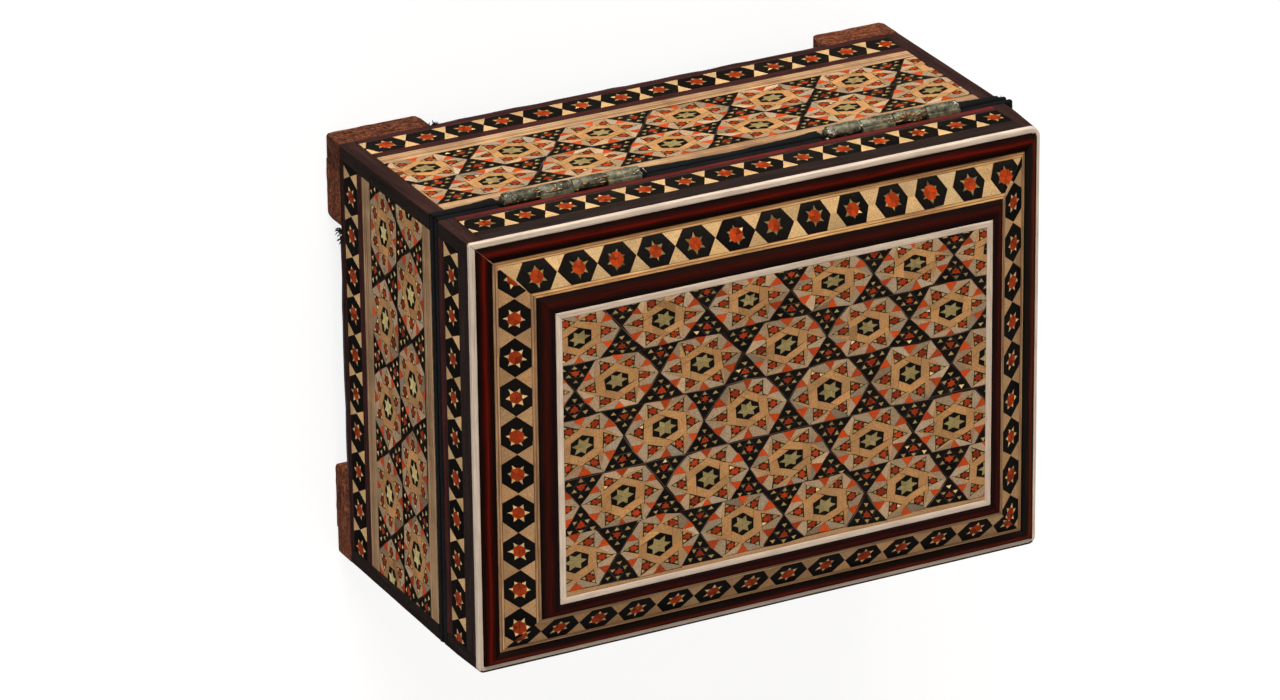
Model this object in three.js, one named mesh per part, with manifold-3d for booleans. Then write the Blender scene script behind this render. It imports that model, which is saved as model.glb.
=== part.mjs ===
// Inlaid wooden box on four bracket feet, with a hinged, raised lid.
// Millimetres, +Z up, X along the box, hinges on the +Y side.
// The origin is on the floor, under the middle of the box and its hinges.

import * as THREE from 'three';
import { mergeVertices } from 'three/addons/utils/BufferGeometryUtils.js';
import Module from 'manifold-3d';

// ---------------------------------------------------------------- dimensions

const LENGTH = 160;            // outside, along X
const DEPTH = 116;             // outside, along Y
const FOOT_HEIGHT = 9;
const FOOT_THICK = 7.5;        // width of a foot's arm
const FOOT_ROUND = 1.8;        // worn lower corner at the end of an arm

const WALL = 5;                // plain wood core of the sides
const VENEER = 1.2;            // inlay and strips on the core
const REBATE = 0.6;            // how deep a corner post is let into the strips
const POST = 4.4;              // width of a corner post on each face
const BOTTOM_THICK = 4;
const LINING = 1;              // velvet
const SOFT_GAP = 0.1;          // glue line behind the velvet

// Heights of the courses on the case, from the floor up.
const BASE_Z = FOOT_HEIGHT;
const BASE_STRIP_TOP = BASE_Z + 2.0;
const CASE_BAND_TOP = BASE_STRIP_TOP + 7.7;
const MID_STRIP_TOP = CASE_BAND_TOP + 2.9;
const LOWER_PALE_TOP = MID_STRIP_TOP + 4.4;
const PANEL_TOP = LOWER_PALE_TOP + 30.2;
const RIM_Z = PANEL_TOP + 4.3;

// The seam: a velvet-covered rim on the case and another on the lid.
const RIM_VELVET = 2.4;
const SEAM_GAP = 0.2;
const RIM_INSET = 1;           // the velvet stands back from the faces
const LID_Z = RIM_Z + 2 * RIM_VELVET + SEAM_GAP;

// Courses on the lid's sides.
const LID_STRIP_TOP = LID_Z + 2.8;
const LID_BAND_TOP = LID_STRIP_TOP + 7.9;
const LID_SIDE_TOP = LID_BAND_TOP + 5.5;

// Lid top. Each value is a distance in from the lid's outer face.
const BONE_IN = 1.65;
const OUTER_MOULD_IN = 5.3;
const OUTER_LINE_IN = 6.5;
const BEVEL_BAND_IN = 13.4;
const INNER_LINE_IN = 14.6;
const INNER_MOULD_IN = 18.6;
const CENTRE_BONE_IN = 20.4;

// Heights on the lid top.
const BEVEL_LOW = LID_SIDE_TOP + 2.6;
const BEVEL_HIGH = LID_SIDE_TOP + 7.8;
const CENTRE_Z = LID_SIDE_TOP + 10.2;
const CENTRE_BED = CENTRE_Z - 1.3;
const MOULD_BED = LID_SIDE_TOP + 0.5;
const GLUE = 0.05;             // glue line under and between sloping pieces
const MITRE_GAP = 0.05;

// Hinges: two rolled-knuckle hinges, leaves laid on the two rims.
const HINGE_Y = DEPTH / 2 + 0.9;
const HINGE_Z = RIM_Z + RIM_VELVET + SEAM_GAP / 2;
const KNUCKLE_R = 1.7;
const BORE_R = 0.8;
const PIN_R = 0.7;
const KNUCKLE_LEN = 9.1;
const KNUCKLE_GAP = 0.3;
const KNUCKLES = 4;
const LEAF_THICK = 1;
const LEAF_BACK = DEPTH / 2 - 5.5;
const LEAF_EDGE = DEPTH / 2 - 1.1;
const HINGE_STARTS = { left: -61, right: 29.6 };
const HINGE_LENGTH = KNUCKLES * KNUCKLE_LEN + (KNUCKLES - 1) * KNUCKLE_GAP;

// Feet: lengths of the arm along X and of the arm along Y.
const FEET = [
  { name: 'foot_front_left', sx: -1, sy: -1, armX: 24, armY: 25 },
  { name: 'foot_front_right', sx: 1, sy: -1, armX: 23, armY: 24 },
  { name: 'foot_back_left', sx: -1, sy: 1, armX: 25.7, armY: 22.6 },
  { name: 'foot_back_right', sx: 1, sy: 1, armX: 21, armY: 23 },
];

const SIDES = ['front', 'back', 'left', 'right'];
const CORNERS = [
  { key: 'front_left', sx: -1, sy: -1 },
  { key: 'front_right', sx: 1, sy: -1 },
  { key: 'back_left', sx: -1, sy: 1 },
  { key: 'back_right', sx: 1, sy: 1 },
];

// ----------------------------------------------------------------- materials

function wood(color, roughness = 0.35) {
  return () => new THREE.MeshStandardMaterial({ color, roughness, metalness: 0 });
}

const MATERIAL = {
  core: wood(0x9c7448, 0.7),
  foot: wood(0x7a3d1e, 0.45),
  ebony: wood(0x2b211f, 0.35),
  darkStrip: wood(0x4a2426, 0.35),
  pale: wood(0xd3a878, 0.4),
  redMoulding: wood(0x4f1210, 0.25),
  bone: wood(0xd8c9ba, 0.35),
  starBand: wood(0x5a4436, 0.35),
  khatam: wood(0xb58a63, 0.35),
  velvet: () => new THREE.MeshStandardMaterial({ color: 0x0c0d10, roughness: 1, metalness: 0 }),
  hinge: () => new THREE.MeshStandardMaterial({ color: 0x7d7f72, roughness: 0.45, metalness: 0.9 }),
};

// ------------------------------------------------------------------ geometry

const wasm = await Module();
wasm.setup();

function toSolid(geometry) {
  const bare = geometry.index ? geometry.toNonIndexed() : geometry.clone();
  bare.deleteAttribute('normal');
  bare.deleteAttribute('uv');
  const merged = mergeVertices(bare, 1e-4);
  return new wasm.Manifold(new wasm.Mesh({
    numProp: 3,
    vertProperties: new Float32Array(merged.attributes.position.array),
    triVerts: new Uint32Array(merged.index.array),
  }));
}

function fromSolid(solid) {
  const mesh = solid.getMesh();
  const geometry = new THREE.BufferGeometry();
  geometry.setAttribute('position', new THREE.BufferAttribute(new Float32Array(mesh.vertProperties), 3));
  geometry.setIndex(new THREE.BufferAttribute(new Uint32Array(mesh.triVerts), 1));
  geometry.computeVertexNormals();
  return geometry;
}

// A block given by its lowest and highest corner.
function block(low, high) {
  const size = high.map((v, i) => v - low[i]);
  const geometry = new THREE.BoxGeometry(...size);
  geometry.translate(...low.map((v, i) => v + size[i] / 2));
  return geometry;
}

// A plan outline, with an optional hole, raised from z0 to z1.
function prism(outline, z0, z1, hole = null) {
  const shape = new THREE.Shape(outline.map(([x, y]) => new THREE.Vector2(x, y)));
  if (hole) {
    shape.holes.push(new THREE.Path(hole.map(([x, y]) => new THREE.Vector2(x, y))));
  }
  const geometry = new THREE.ExtrudeGeometry(shape, { depth: z1 - z0, bevelEnabled: false });
  geometry.translate(0, 0, z0);
  return geometry;
}

function rectangle(x, y) {
  return [[-x, -y], [x, -y], [x, y], [-x, y]];
}

// Signed volume of a triangle list, used to turn the faces outward.
function signedVolume(points, triangles) {
  let sum = 0;
  for (const [a, b, c] of triangles) {
    const cross = new THREE.Vector3().crossVectors(points[b], points[c]);
    sum += points[a].dot(cross) / 6;
  }
  return sum;
}

function closedGeometry(points, triangles) {
  const outward = signedVolume(points, triangles) > 0;
  const flat = [];
  for (const [a, b, c] of triangles) {
    const order = outward ? [a, b, c] : [a, c, b];
    for (const index of order) {
      flat.push(...points[index].toArray());
    }
  }
  const geometry = new THREE.BufferGeometry();
  geometry.setAttribute('position', new THREE.Float32BufferAttribute(flat, 3));
  geometry.computeVertexNormals();
  return geometry;
}

// The four corners of the rectangle that lies `inset` inside the lid's faces.
function lidLoop([inset, z]) {
  const x = LENGTH / 2 - inset;
  const y = DEPTH / 2 - inset;
  return [[-x, -y], [x, -y], [x, y], [-x, y]].map(([px, py]) => new THREE.Vector3(px, py, z));
}

// A closed profile of [inset, z] points carried round the lid, mitred at the corners.
function mitredRing(profile) {
  const points = profile.flatMap(lidLoop);
  const triangles = [];
  for (let i = 0; i < profile.length; i += 1) {
    const j = (i + 1) % profile.length;
    for (let c = 0; c < 4; c += 1) {
      const d = (c + 1) % 4;
      const [a, b, e, f] = [4 * i + c, 4 * i + d, 4 * j + d, 4 * j + c];
      triangles.push([a, b, e], [a, e, f]);
    }
  }
  return closedGeometry(points, triangles);
}

// An open profile carried round the lid, with a flat face closing each end.
function terracedBlock(profile) {
  const points = profile.flatMap(lidLoop);
  const triangles = [[0, 2, 1], [0, 3, 2]];
  for (let i = 0; i + 1 < profile.length; i += 1) {
    for (let c = 0; c < 4; c += 1) {
      const d = (c + 1) % 4;
      const [a, b, e, f] = [4 * i + c, 4 * i + d, 4 * i + 4 + d, 4 * i + 4 + c];
      triangles.push([a, b, e], [a, e, f]);
    }
  }
  const top = 4 * (profile.length - 1);
  triangles.push([top, top + 1, top + 2], [top, top + 2, top + 3]);
  return closedGeometry(points, triangles);
}

// One side of a mitred frame, cut just short of the corner mitres.
function mitredSide(profile, side) {
  const alongX = side === 'front' || side === 'back';
  const sign = side === 'front' || side === 'left' ? -1 : 1;
  const points = [];
  for (const end of [-1, 1]) {
    for (const [inset, z] of profile) {
      const half = (alongX ? LENGTH : DEPTH) / 2 - inset - MITRE_GAP;
      const face = sign * ((alongX ? DEPTH : LENGTH) / 2 - inset);
      points.push(alongX
        ? new THREE.Vector3(end * half, face, z)
        : new THREE.Vector3(face, end * half, z));
    }
  }
  const n = profile.length;
  const triangles = [];
  for (let i = 0; i < n; i += 1) {
    const j = (i + 1) % n;
    triangles.push([i, j, n + j], [i, n + j, n + i]);
  }
  for (let i = 1; i + 1 < n; i += 1) {
    triangles.push([0, i + 1, i], [n, n + i, n + i + 1]);
  }
  return closedGeometry(points, triangles);
}

// Strip round all four faces, rebated at the corners under the posts.
function stripRing(z0, z1) {
  const [x, y] = [LENGTH / 2, DEPTH / 2];
  const quarter = [
    [x - POST, y], [x - POST, y - REBATE], [x - REBATE, y - REBATE],
    [x - REBATE, y - POST], [x, y - POST],
  ];
  const turned = (sx, sy) => quarter.map(([px, py]) => [sx * px, sy * py]);
  const outline = [
    ...turned(1, 1),
    ...turned(1, -1).reverse(),
    ...turned(-1, -1),
    ...turned(-1, 1).reverse(),
  ];
  return prism(outline, z0, z1, rectangle(x - VENEER, y - VENEER));
}

// One face's slab of inlay, rebated at both ends under the posts.
function faceSlab(side, z0, z1) {
  const alongX = side === 'front' || side === 'back';
  const sign = side === 'front' || side === 'left' ? -1 : 1;
  const [run, face] = alongX ? [LENGTH / 2, DEPTH / 2] : [DEPTH / 2, LENGTH / 2];
  const tongue = alongX ? run - REBATE : run - VENEER;
  const outline = [
    [-(run - POST), face], [run - POST, face], [run - POST, face - REBATE],
    [tongue, face - REBATE], [tongue, face - VENEER], [-tongue, face - VENEER],
    [-tongue, face - REBATE], [-(run - POST), face - REBATE],
  ];
  const placed = outline.map(([a, b]) => (alongX ? [a, sign * b] : [sign * b, a]));
  return prism(placed, z0, z1);
}

// L-shaped post over a vertical corner.
function cornerPost({ sx, sy }, z0, z1) {
  const [x, y] = [LENGTH / 2, DEPTH / 2];
  const outline = [
    [x, y], [x - POST, y], [x - POST, y - REBATE],
    [x - REBATE, y - REBATE], [x - REBATE, y - POST], [x, y - POST],
  ];
  return prism(outline.map(([px, py]) => [sx * px, sy * py]), z0, z1);
}

// Elevation of a foot's arm: square to the case, rounded at the free lower corner.
function armOutline(length) {
  const outline = [[0, 0], [length - FOOT_ROUND, 0]];
  for (let i = 1; i <= 4; i += 1) {
    const turn = (i / 4) * Math.PI / 2;
    outline.push([
      length - FOOT_ROUND + FOOT_ROUND * Math.sin(turn),
      FOOT_ROUND - FOOT_ROUND * Math.cos(turn),
    ]);
  }
  outline.push([length, FOOT_HEIGHT], [0, FOOT_HEIGHT]);
  return outline;
}

// A foot is two arms that meet under the corner of the case.
function foot({ sx, sy, armX, armY }) {
  const alongX = prism(armOutline(armX), 0, FOOT_THICK);
  alongX.rotateX(Math.PI / 2);
  alongX.translate(0, FOOT_THICK, 0);
  const alongY = prism(armOutline(armY), 0, FOOT_THICK);
  alongY.rotateX(Math.PI / 2);
  alongY.translate(0, FOOT_THICK, 0);
  alongY.applyMatrix4(new THREE.Matrix4().set(
    0, 1, 0, 0,
    1, 0, 0, 0,
    0, 0, 1, 0,
    0, 0, 0, 1,
  ));
  flipFaces(alongY);
  const corner = toSolid(alongX).add(toSolid(alongY));
  const geometry = fromSolid(corner);
  geometry.scale(-sx, -sy, 1);
  if (sx * sy < 0) {
    flipFaces(geometry);
  }
  geometry.translate(sx * LENGTH / 2, sy * DEPTH / 2, 0);
  return geometry;
}

// Turns every face of a mirrored geometry outward again.
function flipFaces(geometry) {
  if (geometry.index) {
    const index = geometry.index.array;
    for (let i = 0; i < index.length; i += 3) {
      [index[i + 1], index[i + 2]] = [index[i + 2], index[i + 1]];
    }
  } else {
    const array = geometry.attributes.position.array;
    for (let i = 0; i < array.length; i += 9) {
      for (let k = 0; k < 3; k += 1) {
        [array[i + 3 + k], array[i + 6 + k]] = [array[i + 6 + k], array[i + 3 + k]];
      }
    }
  }
  geometry.computeVertexNormals();
}

// Felt under the case, cut away round the feet.
function baseFelt() {
  const [x, y] = [LENGTH / 2 - 0.8, DEPTH / 2 - 0.8];
  let felt = toSolid(block([-x, -y, BASE_Z - 0.8], [x, y, BASE_Z]));
  const room = 0.3;
  for (const { sx, sy, armX, armY } of FEET) {
    for (const [ax, ay] of [[armX, FOOT_THICK], [FOOT_THICK, armY]]) {
      const [x0, x1] = [sx * (LENGTH / 2 - ax - room), sx * (LENGTH / 2 + 5)].sort((a, b) => a - b);
      const [y0, y1] = [sy * (DEPTH / 2 - ay - room), sy * (DEPTH / 2 + 5)].sort((a, b) => a - b);
      felt = felt.subtract(toSolid(block([x0, y0, BASE_Z - 2], [x1, y1, BASE_Z + 2])));
    }
  }
  return fromSolid(felt);
}

// Velvet tray: a block with its inside taken out, open at the top or at the bottom.
function velvetTray(z0, z1, openUp) {
  const x = LENGTH / 2 - VENEER - WALL - SOFT_GAP;
  const y = DEPTH / 2 - VENEER - WALL - SOFT_GAP;
  const low = openUp ? z0 + LINING : z0 - 5;
  const high = openUp ? z1 + 5 : z1 - LINING;
  const inside = block([LINING - x, LINING - y, low], [x - LINING, y - LINING, high]);
  return fromSolid(toSolid(block([-x, -y, z0], [x, y, z1])).subtract(toSolid(inside)));
}

// Velvet over a rim, with pockets for the two hinge leaves.
function rimVelvet(z0, z1, leafLow) {
  const x = LENGTH / 2 - RIM_INSET;
  const y = DEPTH / 2 - RIM_INSET;
  const back = VENEER + WALL + SOFT_GAP + LINING;
  const hole = rectangle(LENGTH / 2 - back, DEPTH / 2 - back);
  let ring = toSolid(prism(rectangle(x, y), z0, z1, hole));
  for (const start of Object.values(HINGE_STARTS)) {
    const pocketLow = [start - 0.3, LEAF_BACK - 0.2, leafLow - 0.2];
    const pocketHigh = [start + HINGE_LENGTH + 0.3, DEPTH / 2 + 1, leafLow + LEAF_THICK + 0.2];
    ring = ring.subtract(toSolid(block(pocketLow, pocketHigh)));
  }
  return fromSolid(ring);
}

function circle(radius, segments) {
  const points = [];
  for (let i = 0; i < segments; i += 1) {
    const turn = (2 * Math.PI * (i + 0.5)) / segments;
    points.push([radius * Math.cos(turn), radius * Math.sin(turn)]);
  }
  return points;
}

// A tube or rod along X on the hinge axis.
function alongHinge(outer, x0, x1, bore = null) {
  const geometry = prism(circle(outer, 20), x0, x1, bore ? circle(bore, 16) : null);
  geometry.rotateZ(Math.PI / 2);
  geometry.rotateY(Math.PI / 2);
  geometry.translate(0, HINGE_Y, HINGE_Z);
  return geometry;
}

// A leaf plate with every other knuckle rolled onto it.
function hingeLeaf(start, first, plateLow, tabLow, tabHigh) {
  const plateHigh = plateLow + LEAF_THICK;
  const end = start + HINGE_LENGTH;
  let leaf = toSolid(block([start, LEAF_BACK, plateLow], [end, LEAF_EDGE, plateHigh]));
  for (let k = first; k < KNUCKLES; k += 2) {
    const x0 = start + k * (KNUCKLE_LEN + KNUCKLE_GAP);
    const x1 = x0 + KNUCKLE_LEN;
    const tab = block([x0, LEAF_EDGE - 1, tabLow], [x1, HINGE_Y, tabHigh]);
    const knuckle = toSolid(alongHinge(KNUCKLE_R, x0, x1))
      .add(toSolid(tab))
      .subtract(toSolid(alongHinge(BORE_R, x0 - 1, x1 + 1)));
    leaf = leaf.add(knuckle);
  }
  return fromSolid(leaf);
}

// ------------------------------------------------------------------ lid edge

// Height of the bevel's upper surface at a distance in from the lid's face.
function bevelZ(inset) {
  const rise = (BEVEL_HIGH - BEVEL_LOW) / (INNER_LINE_IN - OUTER_MOULD_IN);
  return BEVEL_LOW + (inset - OUTER_MOULD_IN) * rise;
}

// A slab of the bevel between two insets.
function bevelProfile(inset0, inset1) {
  return [
    [inset0, bevelZ(inset0) - VENEER],
    [inset1, bevelZ(inset1) - VENEER],
    [inset1, bevelZ(inset1)],
    [inset0, bevelZ(inset0)],
  ];
}

// A moulding on a flat bed, rounded between its outer and inner top edges.
function mouldingProfile(inset0, inset1, bed, z0, z1, bulge) {
  const profile = [[inset0, bed], [inset1, bed]];
  const steps = 8;
  for (let i = 0; i <= steps; i += 1) {
    const t = 1 - i / steps;
    const across = (1 - Math.cos(Math.PI * t)) / 2;
    profile.push([
      inset0 + (inset1 - inset0) * across,
      z0 + (z1 - z0) * across + bulge * Math.sin(Math.PI * t),
    ]);
  }
  return profile;
}

// Shoulders of the solid board that carries everything on the lid top.
const LID_BOARD_PROFILE = [
  [BONE_IN + GLUE, LID_SIDE_TOP],
  [BONE_IN + GLUE, MOULD_BED - GLUE],
  [OUTER_MOULD_IN, MOULD_BED - GLUE],
  [OUTER_MOULD_IN, bevelZ(OUTER_MOULD_IN) - VENEER - GLUE],
  [INNER_LINE_IN, bevelZ(INNER_LINE_IN) - VENEER - GLUE],
  [INNER_MOULD_IN + GLUE, bevelZ(INNER_LINE_IN) - VENEER - GLUE],
  [INNER_MOULD_IN + GLUE, CENTRE_BED - GLUE],
];

const BONE_PROFILE = [
  [0, LID_SIDE_TOP],
  [BONE_IN, LID_SIDE_TOP],
  [BONE_IN, LID_SIDE_TOP + 1.15],
  [0.6, LID_SIDE_TOP + 1.05],
  [0.2, LID_SIDE_TOP + 0.9],
  [0, LID_SIDE_TOP + 0.6],
];

const CENTRE_BONE_PROFILE = [
  [INNER_MOULD_IN + GLUE, CENTRE_BED],
  [CENTRE_BONE_IN, CENTRE_BED],
  [CENTRE_BONE_IN, CENTRE_Z],
  [INNER_MOULD_IN + GLUE, CENTRE_Z],
];

// ------------------------------------------------------------------ assembly

const box = new THREE.Group();
const caseGroup = new THREE.Group();
const lidGroup = new THREE.Group();
box.add(caseGroup, lidGroup);
// Half of what the hinge barrels stand out keeps the origin under the middle.
box.position.y = -(HINGE_Y + KNUCKLE_R - DEPTH / 2) / 2;

function add(group, name, geometry, material) {
  const mesh = new THREE.Mesh(geometry, material());
  mesh.name = name;
  group.add(mesh);
}

const coreX = LENGTH / 2 - VENEER;
const coreY = DEPTH / 2 - VENEER;
const insideX = coreX - WALL;
const insideY = coreY - WALL;

// Case: walls, bottom and feet.
const CASE_BOARDS = {
  case_front_board: [[-coreX, -coreY], [coreX, -insideY]],
  case_back_board: [[-coreX, insideY], [coreX, coreY]],
  case_left_board: [[-coreX, -insideY], [-insideX, insideY]],
  case_right_board: [[insideX, -insideY], [coreX, insideY]],
};
for (const [name, [low, high]] of Object.entries(CASE_BOARDS)) {
  add(caseGroup, name, block([...low, BASE_Z], [...high, RIM_Z]), MATERIAL.core);
}
const bottomLow = [-insideX, -insideY, BASE_Z];
const bottomHigh = [insideX, insideY, BASE_Z + BOTTOM_THICK];
add(caseGroup, 'case_bottom_board', block(bottomLow, bottomHigh), MATERIAL.core);
add(caseGroup, 'base_felt', baseFelt(), MATERIAL.velvet);
for (const spec of FEET) {
  add(caseGroup, spec.name, foot(spec), MATERIAL.foot);
}

// Case: posts and courses of inlay.
for (const corner of CORNERS) {
  add(caseGroup, `case_post_${corner.key}`, cornerPost(corner, BASE_Z, RIM_Z), MATERIAL.ebony);
}
add(caseGroup, 'base_strip', stripRing(BASE_Z, BASE_STRIP_TOP), MATERIAL.darkStrip);
for (const side of SIDES) {
  const slab = faceSlab(side, BASE_STRIP_TOP, CASE_BAND_TOP);
  add(caseGroup, `case_star_band_${side}`, slab, MATERIAL.starBand);
}
add(caseGroup, 'mid_strip', stripRing(CASE_BAND_TOP, MID_STRIP_TOP), MATERIAL.darkStrip);
add(caseGroup, 'lower_pale_strip', stripRing(MID_STRIP_TOP, LOWER_PALE_TOP), MATERIAL.pale);
for (const side of SIDES) {
  const slab = faceSlab(side, LOWER_PALE_TOP, PANEL_TOP);
  add(caseGroup, `case_inlay_panel_${side}`, slab, MATERIAL.khatam);
}
add(caseGroup, 'upper_pale_strip', stripRing(PANEL_TOP, RIM_Z), MATERIAL.pale);

// Case: velvet.
const trayLow = BASE_Z + BOTTOM_THICK + SOFT_GAP;
add(caseGroup, 'case_lining', velvetTray(trayLow, RIM_Z - SOFT_GAP, true), MATERIAL.velvet);
add(caseGroup, 'case_rim_velvet', rimVelvet(RIM_Z, RIM_Z + RIM_VELVET, RIM_Z), MATERIAL.velvet);

// Lid: frame, board and velvet.
const frameHole = rectangle(insideX, insideY);
add(lidGroup, 'lid_frame', prism(rectangle(coreX, coreY), LID_Z, LID_SIDE_TOP, frameHole), MATERIAL.core);
add(lidGroup, 'lid_board', terracedBlock(LID_BOARD_PROFILE), MATERIAL.core);
const lidTrayLow = LID_Z + SOFT_GAP;
add(lidGroup, 'lid_lining', velvetTray(lidTrayLow, LID_SIDE_TOP - SOFT_GAP, false), MATERIAL.velvet);
const lidLeafLow = LID_Z - LEAF_THICK;
add(lidGroup, 'lid_rim_velvet', rimVelvet(LID_Z - RIM_VELVET, LID_Z, lidLeafLow), MATERIAL.velvet);

// Lid: posts and courses on the sides.
for (const corner of CORNERS) {
  add(lidGroup, `lid_post_${corner.key}`, cornerPost(corner, LID_Z, LID_SIDE_TOP), MATERIAL.ebony);
}
add(lidGroup, 'lid_lower_strip', stripRing(LID_Z, LID_STRIP_TOP), MATERIAL.darkStrip);
for (const side of SIDES) {
  const slab = faceSlab(side, LID_STRIP_TOP, LID_BAND_TOP);
  add(lidGroup, `lid_star_band_${side}`, slab, MATERIAL.starBand);
}
add(lidGroup, 'lid_upper_strip', stripRing(LID_BAND_TOP, LID_SIDE_TOP), MATERIAL.darkStrip);

// Lid top, from the edge to the middle.
add(lidGroup, 'bone_edging', mitredRing(BONE_PROFILE), MATERIAL.bone);
const outerMould = mouldingProfile(
  BONE_IN + GLUE, OUTER_MOULD_IN, MOULD_BED, LID_SIDE_TOP + 1.2, BEVEL_LOW - 0.1, 1.2,
);
add(lidGroup, 'outer_moulding', mitredRing(outerMould), MATERIAL.redMoulding);
const outerLine = bevelProfile(OUTER_MOULD_IN, OUTER_LINE_IN);
add(lidGroup, 'outer_pale_line', mitredRing(outerLine), MATERIAL.pale);
for (const side of SIDES) {
  const profile = bevelProfile(OUTER_LINE_IN, BEVEL_BAND_IN);
  add(lidGroup, `bevel_star_band_${side}`, mitredSide(profile, side), MATERIAL.starBand);
}
const innerLine = bevelProfile(BEVEL_BAND_IN, INNER_LINE_IN);
add(lidGroup, 'inner_pale_line', mitredRing(innerLine), MATERIAL.pale);
const innerBed = bevelZ(INNER_LINE_IN) - VENEER;
const innerMould = mouldingProfile(
  INNER_LINE_IN, INNER_MOULD_IN, innerBed, BEVEL_HIGH - 0.1, CENTRE_Z - 0.3, 0.9,
);
add(lidGroup, 'inner_moulding', mitredRing(innerMould), MATERIAL.redMoulding);
add(lidGroup, 'centre_bone_line', mitredRing(CENTRE_BONE_PROFILE), MATERIAL.bone);
const centreX = LENGTH / 2 - CENTRE_BONE_IN;
const centreY = DEPTH / 2 - CENTRE_BONE_IN;
const centre = block([-centreX, -centreY, CENTRE_BED], [centreX, centreY, CENTRE_Z]);
add(lidGroup, 'centre_inlay_panel', centre, MATERIAL.khatam);

// Hinges.
for (const [key, start] of Object.entries(HINGE_STARTS)) {
  const lower = hingeLeaf(start, 0, RIM_Z, RIM_Z, HINGE_Z - KNUCKLE_R + 0.4);
  add(caseGroup, `hinge_${key}_case_leaf`, lower, MATERIAL.hinge);
  const upper = hingeLeaf(start, 1, lidLeafLow, HINGE_Z + KNUCKLE_R - 0.4, LID_Z);
  add(lidGroup, `hinge_${key}_lid_leaf`, upper, MATERIAL.hinge);
  const pin = alongHinge(PIN_R, start - 0.4, start + HINGE_LENGTH + 0.4);
  add(caseGroup, `hinge_${key}_pin`, pin, MATERIAL.hinge);
}

export default box;
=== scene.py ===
"""Looks of the inlaid wooden box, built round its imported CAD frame.

Pieces are made in millimetres in the part's own frame, and become metres when their mesh is made.
The inlay is real geometry: flat sticks of wood, bone and brass, laid in painter's order on one ground
and cut into one connected mesh for each panel.
"""

import math
import random
from functools import cached_property

import bmesh
import bpy
from mathutils import Matrix, Vector, noise
from mathutils.geometry import delaunay_2d_cdt


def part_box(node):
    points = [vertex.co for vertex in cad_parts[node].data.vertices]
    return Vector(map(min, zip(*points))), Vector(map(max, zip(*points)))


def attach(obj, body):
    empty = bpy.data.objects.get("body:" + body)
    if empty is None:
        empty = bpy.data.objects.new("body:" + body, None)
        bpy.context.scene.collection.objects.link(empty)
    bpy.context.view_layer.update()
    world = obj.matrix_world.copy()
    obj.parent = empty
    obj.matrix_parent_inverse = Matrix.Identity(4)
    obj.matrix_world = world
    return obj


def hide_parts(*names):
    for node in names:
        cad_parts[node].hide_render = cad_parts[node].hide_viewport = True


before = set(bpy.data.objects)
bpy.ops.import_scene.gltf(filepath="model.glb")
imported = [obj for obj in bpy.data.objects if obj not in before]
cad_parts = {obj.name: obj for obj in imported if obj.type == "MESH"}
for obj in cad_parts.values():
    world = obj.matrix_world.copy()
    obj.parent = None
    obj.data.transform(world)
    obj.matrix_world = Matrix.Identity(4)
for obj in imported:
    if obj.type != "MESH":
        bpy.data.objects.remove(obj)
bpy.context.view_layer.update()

MM = 0.001


# ---------------------------------------------------------------- sizes from the frame

def box(node):
    """Lowest and highest corner of a CAD node, in millimetres."""
    return [[value / MM for value in corner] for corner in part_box(node)]


FACE_LOW, FACE_HIGH = box("base_strip")
HALF_X = (FACE_HIGH[0] - FACE_LOW[0]) / 2
HALF_Y = (FACE_HIGH[1] - FACE_LOW[1]) / 2
MIDDLE = Vector(((FACE_HIGH[0] + FACE_LOW[0]) / 2, (FACE_HIGH[1] + FACE_LOW[1]) / 2, 0))
POST_LOW, POST_HIGH = box("case_post_back_right")
POST_WIDTH = POST_HIGH[0] - POST_LOW[0]
VENEER = box("centre_inlay_panel")[1][2] - box("centre_inlay_panel")[0][2]


def heights(node):
    """Lowest and highest level of a CAD node."""
    low, high = box(node)
    return low[2], high[2]


def inset(node):
    """How far the outline of a ring on the lid lies inside the lid's faces."""
    return HALF_X - box(node)[1][0]


class Side:
    """One of the four sides: a run along it, and a way out of it."""

    def __init__(self, run, out, half, reach):
        self.run, self.out, self.half, self.reach = Vector(run), Vector(out), half, reach

    def at(self, along, z, out=0.0):
        """The point at this distance along the side, at height z, this far out of its face."""
        return MIDDLE + self.run * along + self.out * (self.reach + out) + Vector((0, 0, z))


SIDES = {
    "front": Side((1, 0, 0), (0, -1, 0), HALF_X, HALF_Y),
    "back": Side((-1, 0, 0), (0, 1, 0), HALF_X, HALF_Y),
    "left": Side((0, -1, 0), (-1, 0, 0), HALF_Y, HALF_X),
    "right": Side((0, 1, 0), (1, 0, 0), HALF_Y, HALF_X),
}


def waver(distance, seed, reach=9.0):
    """Slow irregularity of hand work, from -1 to 1, along a distance."""
    return noise.noise(Vector((distance / reach, seed * 7.31, seed * 1.73)))


# ---------------------------------------------------------------- colours

def srgb(red, green, blue):
    """Linear colour of an sRGB triple from 0 to 255."""
    def linear(value):
        value /= 255
        return value / 12.92 if value <= 0.04045 else ((value + 0.055) / 1.055) ** 2.4
    return (linear(red), linear(green), linear(blue))


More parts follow.
